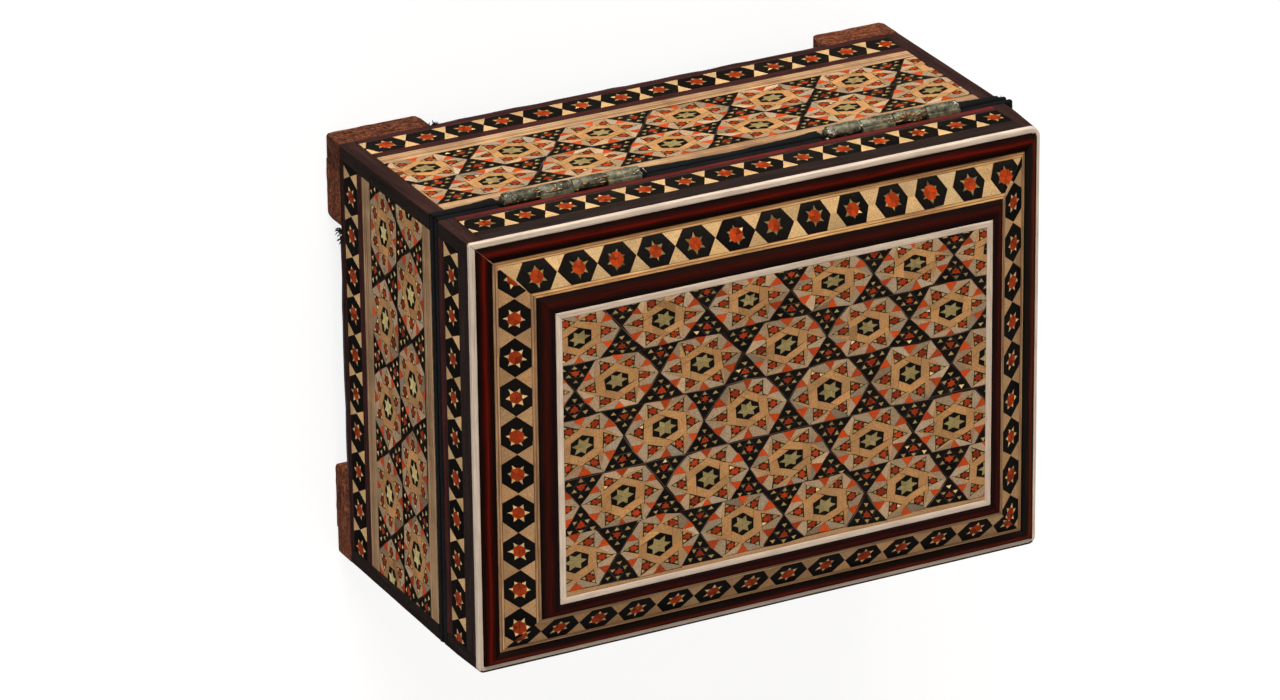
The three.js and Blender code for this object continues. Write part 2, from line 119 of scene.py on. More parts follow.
# Sticks of the inlay: colour, how much it varies from stick to stick, and how metallic it is.
STICKS = {
    "glue": (srgb(38, 22, 12), 0.20, 0.0),
    "black": (srgb(20, 16, 13), 0.22, 0.0),
    "jet": (srgb(10, 7, 5), 0.25, 0.0),
    "hairline": (srgb(84, 72, 60), 0.15, 0.0),
    "brass": (srgb(158, 136, 86), 0.16, 0.2),
    # The paler brass and khaki are lighter copies of brass and khaki, used on some sides: painted glints.
    "brass_painted_glint": (srgb(212, 184, 128), 0.14, 0.2),
    "khaki": (srgb(146, 128, 82), 0.08, 0.2),
    "pale_khaki": (srgb(204, 186, 128), 0.08, 0.2),
    "yellow": (srgb(170, 125, 78), 0.10, 0.0),
    "cream": (srgb(192, 156, 108), 0.07, 0.0),
    "dull_brass": (srgb(120, 102, 62), 0.25, 0.3),
    "straw": (srgb(177, 145, 101), 0.12, 0.0),
    "tan": (srgb(166, 128, 88), 0.12, 0.0),
    "bone": (srgb(157, 132, 104), 0.18, 0.0),
    "red": (srgb(142, 46, 9), 0.20, 0.0),
    "orange": (srgb(174, 62, 14), 0.16, 0.0),
}
PAINTED_GLINT_SHARE = 0.03                    # share of the brass sticks coloured pale gold: a painted glint


# ---------------------------------------------------------------- materials

class Nodes:
    """Short names for the shader nodes that the materials use."""

    def __init__(self, name):
        self.material = bpy.data.materials.new(name)
        self.material.use_nodes = True
        self.tree = self.material.node_tree
        self.tree.nodes.clear()
        output = self.tree.nodes.new("ShaderNodeOutputMaterial")
        self.shader = self.tree.nodes.new("ShaderNodeBsdfPrincipled")
        self.tree.links.new(self.shader.outputs[0], output.inputs[0])

    def put(self, kind, inputs=(), **settings):
        node = self.tree.nodes.new("ShaderNode" + kind)
        for key, value in settings.items():
            setattr(node, key, value)
        for key, value in dict(inputs).items():
            if isinstance(value, bpy.types.NodeSocket):
                self.tree.links.new(value, node.inputs[key])
            else:
                node.inputs[key].default_value = value
        return node

    def stretched(self, vector, scale):
        return self.put("Mapping", {"Vector": vector, "Scale": scale}).outputs[0]

    @cached_property
    def point(self):
        """The place on the object, in millimetres."""
        return self.stretched(self.put("TexCoord").outputs["Object"], (1 / MM,) * 3)

    @cached_property
    def grain(self):
        """Distance along the grain, across it, and a number for each length."""
        return self.put("Attribute", attribute_name="grain").outputs["Vector"]

    @cached_property
    def stick(self):
        """The tint of each face, with how metallic it is as its alpha."""
        return self.put("Attribute", attribute_name="tint").outputs

    def cloud(self, scale, detail, roughness):
        return self.noise(self.point, scale, detail, roughness)

    def grained(self, scale, detail, roughness):
        return self.noise(self.stretched(self.grain, scale), 1.0, detail, roughness)

    def noise(self, vector, scale, detail=3.0, roughness=0.55):
        inputs = {"Vector": vector, "Scale": scale, "Detail": detail, "Roughness": roughness}
        return self.put("TexNoise", inputs).outputs[0]

    def spread(self, value, low, high, start=0.3, stop=0.7):
        """Value from start to stop becomes low to high."""
        inputs = {0: value, 1: start, 2: stop, 3: low, 4: high}
        return self.put("MapRange", inputs).outputs[0]

    def ramp(self, value, stops):
        node = self.put("ValToRGB", {0: value})
        ends = node.color_ramp.elements
        for _ in stops[2:]:
            ends.new(0.5)
        for element, (place, colour) in zip(ends, stops):
            element.position, element.color = place, (*colour, 1)
        return node.outputs[0]

    def math(self, operation, a, b=0.0):
        return self.put("Math", {0: a, 1: b}, operation=operation).outputs[0]

    def scaled(self, value, share):
        return self.math("MULTIPLY", value, share)

    def sum(self, a, b, share=None):
        """a and b, or a and a share of b."""
        return self.math("ADD", a, b if share is None else self.scaled(b, share))

    def mix(self, factor, a, b, blend="MIX"):
        node = self.put("Mix", data_type="RGBA", blend_type=blend)
        for index, value in ((0, factor), (6, a), (7, b)):
            if isinstance(value, bpy.types.NodeSocket):
                self.tree.links.new(value, node.inputs[index])
            elif index:
                node.inputs[index].default_value = (*value, 1)
            else:
                node.inputs[index].default_value = value
        return node.outputs[2]

    def times(self, colour, value):
        """Colour made lighter or darker by a value."""
        grey = self.put("CombineColor", {0: value, 1: value, 2: value}).outputs[0]
        return self.mix(1.0, colour, grey, "MULTIPLY")

    def tinted(self, colour):
        return self.mix(1.0, colour, self.stick["Color"], "MULTIPLY")

    def bump(self, height, strength, depth):
        """Relief whose full height is depth millimetres."""
        inputs = {"Height": height, "Strength": strength, "Distance": depth * MM}
        return self.put("Bump", inputs).outputs[0]

    def surface(self, colour, roughness, normal=None, metallic=None, **values):
        linked = {"Base Color": colour, "Roughness": roughness, "Normal": normal, "Metallic": metallic}
        for key, value in linked.items():
            if value is not None:
                self.tree.links.new(value, self.shader.inputs[key])
        for key, value in values.items():
            socket = key.replace("_", " ").title().replace("Ior", "IOR")
            self.shader.inputs[socket].default_value = value
        return self.material


def inlay_material():
    """End grain of small sticks under old lacquer; colour and metal come from each stick."""
    n = Nodes("inlay")
    speckle = n.noise(n.grain, 3.1, 3.0, 0.7)
    blotch = n.cloud(0.22, 4.0, 0.6)
    wear = n.cloud(1.3, 5.0, 0.7)
    colour = n.times(n.stick["Color"], n.spread(speckle, 0.56, 1.34))
    colour = n.times(colour, n.spread(blotch, 0.86, 1.08))
    colour = n.mix(n.spread(wear, 0.0, 0.35, 0.62, 0.8), colour, srgb(88, 60, 38))
    metal = n.scaled(n.stick["Alpha"], n.spread(wear, 0.7, 1.0))
    normal = n.bump(n.sum(speckle, blotch, 2.5), 0.35, 0.05)
    return n.surface(colour, n.spread(wear, 0.30, 0.52), normal, metal,
                     specular_ior_level=0.12, coat_weight=0.03, coat_roughness=0.2)


def lacquered_wood(name, dark, light, streak, reach, gloss=0.38):
    """Wood with its grain along each length; the tint of each length shades it."""
    n = Nodes(name)
    fine = n.grained((0.35, 7.0 * streak, 1.0), 3.0, 0.6)
    scuff = n.cloud(0.9, 6.0, 0.7)
    figure = n.sum(n.scaled(n.grained((0.05, 1.5 * streak, 1.0), 5.0, 0.62), 0.65), fine, 0.35)
    colour = n.ramp(figure, [(0.5 - reach, dark), (0.5 + reach, light)])
    colour = n.tinted(n.times(colour, n.spread(n.cloud(0.12, 3.0, 0.5), 0.84, 1.12)))
    normal = n.bump(n.sum(fine, scuff, 0.8), 0.4, 0.05)
    return n.surface(colour, n.spread(scuff, gloss - 0.08, gloss + 0.16), normal,
                     specular_ior_level=0.25, coat_weight=0.1, coat_roughness=0.2)


def moulding_material(name, stops):
    """Rosewood moulding: stops are its colour at places round its section; the red band part way round is a
    painted highlight on dark stained wood.
    """
    n = Nodes(name)
    around = n.put("Attribute", attribute_name="shoulder").outputs["Fac"]
    drift = n.grained((0.045, 0.2, 1.0), 4.0, 0.6)
    streak = n.grained((0.06, 2.6, 1.0), 5.0, 0.65)
    scuff = n.cloud(1.1, 5.0, 0.7)
    # The red band in the stops is a painted highlight where the curve would face the light.
    stripe_and_stain = n.ramp(n.sum(around, n.spread(drift, -0.035, 0.035)), stops)
    colour = n.tinted(n.times(stripe_and_stain, n.spread(streak, 0.6, 1.4)))
    normal = n.bump(n.sum(streak, scuff), 0.35, 0.05)
    return n.surface(colour, n.spread(scuff, 0.4, 0.6), normal, specular_ior_level=0.02)


def bone_material():
    """Polished camel bone: creamy, faintly streaked, with pores and stained scratches."""
    n = Nodes("bone")
    streak = n.grained((0.08, 2.2, 1.0), 4.0, 0.6)
    blotch = n.cloud(0.16, 4.0, 0.6)
    pores = n.grained((1.1, 5.0, 1.0), 2.0, 0.5)
    colour = n.ramp(streak, [(0.3, srgb(176, 154, 134)), (0.7, srgb(208, 190, 172))])
    colour = n.times(colour, n.spread(blotch, 0.88, 1.06))
    colour = n.tinted(n.mix(n.spread(pores, 0.0, 0.5, 0.68, 0.8), colour, srgb(112, 74, 52)))
    normal = n.bump(n.sum(streak, pores), 0.3, 0.04)
    return n.surface(colour, n.spread(blotch, 0.3, 0.46), normal,
                     specular_ior_level=0.3, coat_weight=0.08, coat_roughness=0.2)


def velvet_material(name, dark, light, sheen):
    """Black velvet or felt: a soft pile, crushed here and there, with a little lint."""
    n = Nodes(name)
    pile = n.cloud(3.5, 4.0, 0.75)
    lint = n.cloud(2.1, 2.0, 0.5)
    colour = n.ramp(pile, [(0.3, dark), (0.75, light)])
    colour = n.times(colour, n.spread(n.cloud(0.12, 3.0, 0.6), 0.6, 1.3))
    colour = n.mix(n.spread(lint, 0.0, 0.3, 0.76, 0.82), colour, srgb(90, 84, 78))
    return n.surface(colour, n.spread(pile, 0.85, 1.0), n.bump(pile, 0.9, 0.25),
                     specular_ior_level=0.1, sheen_weight=sheen, sheen_roughness=0.5)


def hinge_material():
    """Thin plated steel gone grey-green, with brown spots and scratches; the near-white along the scratches
    is partly bright worn metal and partly painted glints.
    """
    n = Nodes("hinge_metal")
    spots = n.cloud(1.4, 5.0, 0.7)
    scratch_and_glint = n.noise(n.stretched(n.point, (1.6, 0.7, 0.7)), 1.1, 5.0, 0.75)
    colour = n.ramp(n.cloud(0.35, 5.0, 0.65), [
        (0.36, srgb(50, 48, 36)), (0.5, srgb(98, 97, 80)), (0.68, srgb(150, 143, 114))])
    colour = n.mix(n.spread(spots, 0.0, 0.85, 0.58, 0.7), colour, srgb(94, 72, 36))
    # Near-white along the scratches: bright worn metal, and painted glints.
    colour = n.mix(n.spread(scratch_and_glint, 0.0, 0.9, 0.61, 0.68), colour, srgb(222, 222, 210))
    colour = n.mix(n.spread(scratch_and_glint, 0.7, 0.0, 0.34, 0.42), colour, srgb(44, 36, 24))
    normal = n.bump(n.sum(n.scaled(spots, 0.7), scratch_and_glint), 0.7, 0.12)
    return n.surface(colour, n.spread(scratch_and_glint, 0.5, 0.2, 0.4, 0.75), normal,
                     n.spread(spots, 0.55, 0.2, 0.45, 0.7))


def glue_material(name, scale, stops, grit, rough, coat):
    """Old glue, dried hard and shiny. grit is the scale and the depth of its lumps."""
    n = Nodes(name)
    cloud = n.noise(n.point, *scale)
    normal = n.bump(n.noise(n.point, *grit[:3]), *grit[3:])
    return n.surface(n.ramp(cloud, stops), n.spread(cloud, *rough), normal,
                     coat_weight=coat[0], coat_roughness=coat[1])


def foot_material():
    """Red-brown wood with open pores and grit; its shade and roughness vary in patches."""
    n = Nodes("foot_wood")
    streak = n.grained((0.1, 1.6, 1.0), 5.0, 0.65)
    pores = n.grained((1.3, 3.4, 2.2), 4.0, 0.7)
    grime = n.cloud(0.3, 4.0, 0.6)
    grit = n.cloud(1.35, 5.0, 0.8)
    figure = n.sum(n.sum(n.scaled(streak, 0.3), pores, 0.2), grit, 0.5)
    colour = n.ramp(figure, [(0.42, srgb(34, 13, 5)), (0.5, srgb(98, 46, 20)), (0.57, srgb(164, 92, 44))])
    colour = n.tinted(n.times(colour, n.spread(grime, 0.72, 1.12)))
    normal = n.bump(n.sum(pores, grit), 0.75, 0.22)
    return n.surface(colour, n.spread(grime, 0.42, 0.66), normal,
                     specular_ior_level=0.35, coat_weight=0.04, coat_roughness=0.3)


def core_material():
    """Plain sawn softwood under the inlay."""
    n = Nodes("core_wood")
    rings = n.noise(n.stretched(n.point, (0.02, 0.02, 1.0)), 1.2, 5.0, 0.6)
    saw = n.noise(n.stretched(n.point, (2.0, 2.0, 0.3)), 1.0, 3.0, 0.6)
    colour = n.ramp(rings, [(0.35, srgb(120, 86, 52)), (0.65, srgb(178, 140, 94))])
    colour = n.times(colour, n.spread(saw, 0.88, 1.06))
    return n.surface(colour, n.spread(saw, 0.6, 0.85), n.bump(n.sum(rings, saw), 0.5, 0.15))


def glowing_material(name, scale, detail, grey, rough, glow):
    """A pale studio surface that glows a little, as a light table does."""
    n = Nodes(name)
    cloud = n.noise(n.put("TexCoord").outputs["Object"], scale, detail)
    colour = n.ramp(cloud, [(0.3, (grey,) * 3), (0.7, (grey + 0.02,) * 3)])
    return n.surface(colour, n.spread(cloud, rough, rough + 0.1),
                     emission_color=(1, 1, 1, 1), emission_strength=glow)


# Blender adds a number to a name that the frame's own materials have already.
MATERIALS = {material.name.split(".")[0]: material for material in (
    inlay_material(),
    lacquered_wood("pale_wood", srgb(116, 82, 54), srgb(184, 148, 108), 1.0, 0.2 / 1.6),
    lacquered_wood("dark_strip", srgb(28, 14, 12), srgb(72, 34, 30), 1.2, 0.2 / 1.4),
    lacquered_wood("ebony", srgb(20, 15, 13), srgb(52, 37, 33), 1.0, 0.2 / 1.5, 0.4),
    # The red stops part way round each moulding are a painted highlight stripe.
    moulding_material("outer_moulding", [
        (0.0, srgb(24, 11, 9)), (0.12, srgb(28, 11, 8)), (0.18, srgb(58, 12, 7)), (0.24, srgb(96, 20, 10)),
        (0.3, srgb(54, 12, 7)), (0.35, srgb(26, 11, 8)), (1.0, srgb(22, 10, 9))]),
    moulding_material("inner_moulding", [
        (0.0, srgb(18, 10, 8)), (0.14, srgb(20, 9, 7)), (0.25, srgb(44, 9, 5)), (0.36, srgb(18, 8, 7)),
        (1.0, srgb(15, 9, 8))]),
    bone_material(),
    velvet_material("black_velvet", srgb(4, 4, 5), srgb(15, 16, 20), 0.02),
    # The lining and the felt are lighter than the black velvet: painted light, so their pile shows in the
    # shade.
    velvet_material("lining_velvet_painted_light", srgb(9, 9, 12), srgb(38, 38, 46), 0.3),
    velvet_material("felt_painted_light", srgb(10, 10, 11), srgb(40, 40, 42), 0.1),
    hinge_material(),
    # Amber to dark brown animal glue, and clear glue that has gone milky.
    glue_material("dried_glue", (1.1, 4.0, 0.65), [
        (0.32, srgb(44, 26, 10)), (0.5, srgb(104, 70, 28)), (0.7, srgb(170, 144, 92))],
        (4.0, 4.0, 0.7, 0.8, 0.1), (0.16, 0.4), (0.6, 0.1)),
    glue_material("pale_glue", (1.6, 3.0, 0.6), [(0.35, srgb(120, 112, 92)), (0.6, srgb(206, 202, 186))],
                  (5.0, 3.0, 0.7, 0.6, 0.08), (0.15, 0.3), (0.5, 0.08)),
    foot_material(),
    core_material(),
)}


# ---------------------------------------------------------------- meshes

WHITE = (1.0, 1.0, 1.0, 0.0)

# How round the lid's upright corners are worn, by the signs of x and y.
LID_ROUND = {(1, 1): 2.9, (1, -1): 2.0, (-1, 1): 0.7, (-1, -1): 1.8}
LID_BOTTOM, LID_TOP = heights("lid_lower_strip")[0], heights("bone_edging")[1]


def worn(point):
    """A point of the lid, drawn in where the upright corners are worn round."""
    x, y = point.x - MIDDLE.x, point.y - MIDDLE.y
    sx, sy = (1 if x > 0 else -1), (1 if y > 0 else -1)
    share = min(1.0, max(0.25, (point.z - LID_BOTTOM) / (LID_TOP - LID_BOTTOM)))
    radius = LID_ROUND[(sx, sy)] * share
    dx, dy = abs(x) - (HALF_X - radius), abs(y) - (HALF_Y - radius)
    if dx <= 0 or dy <= 0:
        return point
    scale = max(dx, dy) / math.hypot(dx, dy)
    x, y = HALF_X - radius + dx * scale, HALF_Y - radius + dy * scale
    return MIDDLE + Vector((sx * x, sy * y, point.z))


class Piece:
    """A mesh in the making, with a tint for each face and a grain direction for each face corner."""

    def __init__(self):
        self.points, self.faces, self.tints, self.grain, self.shoulder = [], [], [], [], []

    def face(self, corners, grain, tint=WHITE, shoulder=None):
        self.faces.append(corners)
        self.grain.extend(grain)
        self.tints.append(tint)
        self.shoulder.extend(shoulder or [0.0] * len(corners))

    def sweep(self, stations, seed, tint=WHITE):
        """Skin between closed sections. A station is its distance along and its section's points."""
        first, count = len(self.points), len(stations[0][1])
        section = stations[0][1]
        girth = [0.0]
        for i in range(count):
            girth.append(girth[-1] + (section[(i + 1) % count] - section[i]).length)
        for _, points in stations:
            self.points.extend(points)
        for i in range(len(stations) - 1):
            start, end = stations[i][0], stations[i + 1][0]
            for j in range(count):
                a, b = first + i * count + j, first + i * count + (j + 1) % count
                grain = [(start, girth[j], seed), (start, girth[j + 1], seed),
                         (end, girth[j + 1], seed), (end, girth[j], seed)]
                shares = [girth[j] / girth[-1], girth[j + 1] / girth[-1]]
                self.face((a, b, b + count, a + count), grain, tint, [*shares, *reversed(shares)])
        for station, at in ((stations[0], first), (stations[-1], len(self.points) - count)):
            flat = [(p.x * 0.3, p.y + p.z, seed) for p in station[1]]
            self.face(tuple(range(at, at + count)), flat, tint)

    def plain(self, corners):
        """A face whose grain is the place of each corner."""
        self.face(corners, [tuple(self.points[c]) for c in corners])

    def bridge(self, below, above, count):
        """Faces between two closed loops of points, by the number of each loop's first point."""
        for j in range(count):
            k = (j + 1) % count
            self.plain((below + j, below + k, above + k, above + j))

    def lattice(self, loops):
        """Skin over closed loops of points, all of one length; gives the number of the first point."""
        first, count = len(self.points), len(loops[0])
        for loop in loops:
            self.points.extend(loop)
        for i in range(len(loops) - 1):
            self.bridge(first + i * count, first + (i + 1) * count, count)
        return first

    def fibre(self, root, way, length, width, droop=0.3, spin=0.0, steps=2):
        """One thin tapering fibre that bends down a little along its length."""
        side = way.orthogonal().normalized()
        side.rotate(Matrix.Rotation(spin, 3, way))
        other = way.cross(side).normalized()
        first = len(self.points)
        for i in range(steps):
            share = i / steps
            centre = root + way * (length * share) + side * (droop * length * share * share)
            reach = width * (1 - share) / 2
            self.points.extend([centre + side * reach, centre - side * reach / 2 + other * reach * 0.87,
                                centre - side * reach / 2 - other * reach * 0.87])
        self.points.append(root + way * length + side * droop * length)
        tip = len(self.points) - 1
        for i in range(steps - 1):
            for j in range(3):
                a, b = first + 3 * i + j, first + 3 * i + (j + 1) % 3
                self.face((a, b, b + 3, a + 3), [tuple(root)] * 4)
        last = first + 3 * (steps - 1)
        for j in range(3):
            self.face((last + j, last + (j + 1) % 3, tip), [tuple(root)] * 3)

    def build(self, name, material, body, slot, nodes=(), outward=True, sharp=35):
        mesh = bpy.data.meshes.new(name)
        points = [worn(p) for p in self.points] if body == "lid" else self.points
        mesh.from_pydata([tuple(p * MM) for p in points], [], self.faces)
        tints = mesh.attributes.new("tint", "FLOAT_COLOR", "FACE")
        tints.data.foreach_set("color", [value for tint in self.tints for value in tint])
        grain = mesh.attributes.new("grain", "FLOAT_VECTOR", "CORNER")
        grain.data.foreach_set("vector", [value for corner in self.grain for value in corner])
        if any(self.shoulder):
            shoulder = mesh.attributes.new("shoulder", "FLOAT", "CORNER")
            shoulder.data.foreach_set("value", self.shoulder)
        if outward:
            work = bmesh.new()
            work.from_mesh(mesh)
            bmesh.ops.recalc_face_normals(work, faces=work.faces)
            work.to_mesh(mesh)
            work.free()
        mesh.polygons.foreach_set("use_smooth", [True] * len(mesh.polygons))
        mesh.set_sharp_from_angle(angle=math.radians(sharp))
        mesh.materials.append(MATERIALS[material])
        piece = bpy.data.objects.new(name, mesh)
        bpy.context.scene.collection.objects.link(piece)
        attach(piece, body)
        if nodes:
            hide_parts(*nodes)


# ---------------------------------------------------------------- inlay

GLUE_LINE = 0.07
HOLE = "hole"
APOTHEM = math.sqrt(3) / 2


def area(outline):
    """Signed area, positive for a counter-clockwise outline."""
    ends = zip(outline, outline[1:] + outline[:1])
    return sum(a[0] * b[1] - b[0] * a[1] for a, b in ends) / 2


def grown(outline, by):
    """A convex outline moved outward by a distance, or inward if it is negative."""
    by = by if area(outline) > 0 else -by
    count = len(outline)
    moved = []
    for i in range(count):
        before, here, after = outline[i - 1], outline[i], outline[(i + 1) % count]
        first = Vector((here[1] - before[1], before[0] - here[0])).normalized()
        second = Vector((after[1] - here[1], here[0] - after[0])).normalized()
        lean = first + second
        reach = min(3.0, 2 / max(lean.length_squared, 0.1))
        moved.append((here[0] + lean.x * by * reach, here[1] + lean.y * by * reach))
    return moved


def within(point, outline):
    """Whether a point lies inside an outline."""
    x, y = point
    result = False
    for a, b in zip(outline, outline[1:] + outline[:1]):
        if (a[1] > y) != (b[1] > y) and x < a[0] + (b[0] - a[0]) * (y - a[1]) / (b[1] - a[1]):
            result = not result
    return result


class Inlay:
    """Flat sticks laid on one ground, in millimetres. A later one lies over the earlier ones."""

    def __init__(self, seed, ground="glue", brass="brass", sway=0.0, black="black"):
        self.random, self.seed, self.sway, self.black = random.Random(seed), seed, sway, black
        self.ground, self.brass = ground, brass
        self.outlines, self.kinds = [], []

    def bent(self, x, y):
        """A point moved by the slow wander of sticks pressed together."""
        spot = Vector((x / 8, y / 8, self.seed * 3.1))
        return (x + self.sway * noise.noise(spot), y + self.sway * noise.noise(spot + Vector((31.7, 0, 9.1))))

    def lay(self, outline, kind, shake=0.05):
        """Lay one stick; its corners are cut by hand, so they are off by about shake."""
        cut = [(x + self.random.gauss(0, shake), y + self.random.gauss(0, shake)) for x, y in outline]
        if area(cut) < 0:
            cut.reverse()
        if self.sway:
            cut = [self.bent(*point) for point in cut]
        self.outlines.append(cut)
        self.kinds.append({"brass": self.brass, "black": self.black}.get(kind, kind))

    def set_in(self, outline, kind, shake=0.05, line=GLUE_LINE):
        """Lay one stick with a glue line round it."""
        cut = [(x + self.random.gauss(0, shake), y + self.random.gauss(0, shake)) for x, y in outline]
        self.lay(grown(cut, line), "glue", 0)
        self.lay(cut, kind, 0)

    def tint(self, kind):
        """Colour and metal of one stick."""
        colour, spread, metal = STICKS[kind]
        shade = max(0.4, 1 + self.random.gauss(0, spread))
        # A few brass sticks take a pale gold colour: a painted glint.
        if "brass" in kind and self.random.random() < PAINTED_GLINT_SHARE:
            return (*srgb(240, 206, 140), metal)
        warm = 1 + self.random.gauss(0, spread * 0.25)
        return (colour[0] * shade * warm, colour[1] * shade, colour[2] * shade / warm, metal)

    def cut(self, outline, extra=()):
        """Points and triangles of the ground, and the tint and number of the stick on each."""
        shapes = [outline, *self.outlines]
        points, faces = [], []
        for shape in shapes:
            faces.append(list(range(len(points), len(points) + len(shape))))
            points.extend(Vector(p) for p in shape)
        points.extend(Vector(p) for p in extra)
        kinds = [self.ground, *self.kinds]
        tints = [None if kind == HOLE else self.tint(kind) for kind in kinds]
        found, _, triangles, _, _, owners = delaunay_2d_cdt(points, [], faces, 1, 1e-4, True)
        kept = []
        for triangle, owner in zip(triangles, owners):
            if 0 not in owner:
                continue
            middle = centre_of([found[i] for i in triangle])
            top = next((k for k in sorted(owner, reverse=True) if k == 0 or within(middle, shapes[k])), 0)
            if tints[top] is not None:
                kept.append((triangle, top))
        used = sorted({i for triangle, _ in kept for i in triangle})
        number = {old: new for new, old in enumerate(used)}
        triangles = [tuple(number[i] for i in triangle) for triangle, _ in kept]
        return [found[i] for i in used], triangles, [tints[top] for _, top in kept], [top for _, top in kept]


def slab(piece, inlay, outline, place, depth, edge=0.12, extra=()):
    """Add an inlaid slab. place turns (u, v, out) into a point; its edges are rubbed round by hand."""
    found, triangles, tints, owners = inlay.cut(grown(outline, -edge), extra)
    first = len(piece.points)
    piece.points.extend(place(p.x, p.y, 0.0) for p in found)
    border = {}
    for triangle, tint, owner in zip(triangles, tints, owners):
        corners = [(found[i].x, found[i].y, owner * 0.7) for i in triangle]
        piece.face(tuple(first + i for i in triangle), corners, tint)
        for k in range(3):
            a, b = triangle[k], triangle[(k + 1) % 3]
            if (b, a) in border:
                del border[(b, a)]
            else:
                border[(a, b)] = (tint, owner)
    leans = {}
    for a, b in border:
        way = (found[b] - found[a]).normalized()
        for i in (a, b):
            leans.setdefault(i, []).append(Vector((way.y, -way.x)))
    rings = {}
    for i, ways in leans.items():
        lean = sum(ways, Vector((0, 0)))
        lean = lean * (2 * edge / max(lean.length_squared, 0.5))
        x, y = found[i].x, found[i].y
        rings[i] = [first + i, *range(len(piece.points), len(piece.points) + 3)]
        piece.points.extend([place(x + lean.x * 0.7, y + lean.y * 0.7, -edge * 0.3),
                             place(x + lean.x, y + lean.y, -edge),
                             place(x + lean.x, y + lean.y, -depth)])
    for (a, b), (tint, owner) in border.items():
        for k in range(3):
            corners = (rings[b][k], rings[a][k], rings[a][k + 1], rings[b][k + 1])
            grain = [(found[i].x, found[i].y - drop, owner * 0.7)
                     for i, drop in ((b, k), (a, k), (a, k + 1), (b, k + 1))]
            piece.face(corners, grain, tint)
    # The back of the slab: one face for each closed run of the border.
    after = {a: b for a, b in border}
    while after:
        here, loop = next(iter(after)), []
        while here in after:
            loop.append(rings[here][3])
            here = after.pop(here)
        loop.reverse()
        piece.face(tuple(loop), [(0.0, 0.0, 0.0)] * len(loop), tints[0])


class Hexed:
    """Places in a squashed hexagon, from its middle at (x, y); its corners are at 0, 60, 120 degrees."""

    def __init__(self, x, y, along, across, turn=0.0):
        self.x, self.y, self.along, self.across = x, y, along, across
        self.turn = math.radians(turn)

    def unit(self, u, v):
        cos, sin = math.cos(self.turn), math.sin(self.turn)
        return (self.x + self.along * (u * cos - v * sin), self.y + self.across * (u * sin + v * cos))

    def __call__(self, degrees, radius, aside=0.0):
        angle = math.radians(degrees)
        cos, sin = math.cos(angle), math.sin(angle)
        return self.unit(radius * cos - aside * sin, radius * sin + aside * cos)


def hexagon(at, turn, radius):
    return [at(turn + 60 * k, radius) for k in range(6)]


def wheel_stick(at, k, inner, outer):
    """Stick k of a wheel of six round a hexagon: one end runs past the corner of the next stick."""
    def corner(radius, index):
        angle = math.radians(30 + 60 * index)
        return Vector((radius * math.cos(angle), radius * math.sin(angle)))

    def meets(index):
        start, along = corner(inner, index), corner(inner, index + 1) - corner(inner, index)
        wall, across = corner(outer, index + 1), corner(outer, index + 2) - corner(outer, index + 1)
        return start + along * ((wall - start).cross(across) / along.cross(across))

    return [at.unit(p.x, p.y) for p in (corner(inner, k), meets(k - 1), corner(outer, k + 1), meets(k))]


def toward(middle, point, share):
    return (middle[0] + (point[0] - middle[0]) * share, middle[1] + (point[1] - middle[1]) * share)


def centre_of(points):
    return (sum(p[0] for p in points) / len(points), sum(p[1] for p in points) / len(points))


def shrunk(points, share):
    """An outline drawn in to its middle, or through it and out again if share is negative."""
    middle = centre_of(points)
    return [toward(middle, p, share) for p in points]


def brass_tips(inlay, corners, reach, size, shake):
    """A small brass copy of a triangle near each of its corners."""
    middle = centre_of(corners)
    for tip in corners:
        x, y = toward(middle, tip, reach)
        inlay.lay([(x + (p[0] - middle[0]) * size, y + (p[1] - middle[1]) * size) for p in corners],
                  "brass", shake)


def red_unit(inlay, corners):
    """A dark triangle with a red heart and a brass stick in each corner."""
    inlay.lay(grown(corners, 0.06), "glue", 0.03)
    brass_tips(inlay, corners, 0.62, 0.25, 0.05)
    for share in (-0.54, 0.5):
        inlay.lay(shrunk(corners, share), "red", 0.06)


def black_triangle(inlay, corners):
    """A black triangle of four: three with a brass heart, and a middle one of red and brass."""
    inlay.lay(corners, "hairline", 0.03)
    a, b, c = corners
    ab, bc, ca = toward(a, b, 0.5), toward(b, c, 0.5), toward(c, a, 0.5)
    for part in ((a, ab, ca), (ab, b, bc), (ca, bc, c)):
        inlay.lay(grown(list(part), -0.03), "black", 0.02)
        inlay.lay(shrunk(part, -0.25), "brass", 0.04)
    heart = [ab, bc, ca]
    inlay.lay(grown(heart, -0.03), "black", 0.02)
    brass_tips(inlay, heart, 0.6, 0.23, 0.04)
    for share in (-0.45, 0.36):
        inlay.lay(shrunk(heart, share), "red", 0.04)


# Proportions of a khatam star, in shares of its radius; a pair is the least and the most.
HUB, WHEEL, RIM = 0.325, 0.59, 0.858
ORANGE_POINT, ORANGE_WIDTH = (0.57, 0.64), (0.12, 0.165)
YELLOW_POINT, YELLOW_WIDTH = (0.8, 0.9), (0.2, 0.25)
RED_BASE, RED_POINT, RED_WIDTH = 0.5, (0.85, 0.91), (0.18, 0.215)
HEART_POINT, HEART_WAIST = 0.258, 0.145


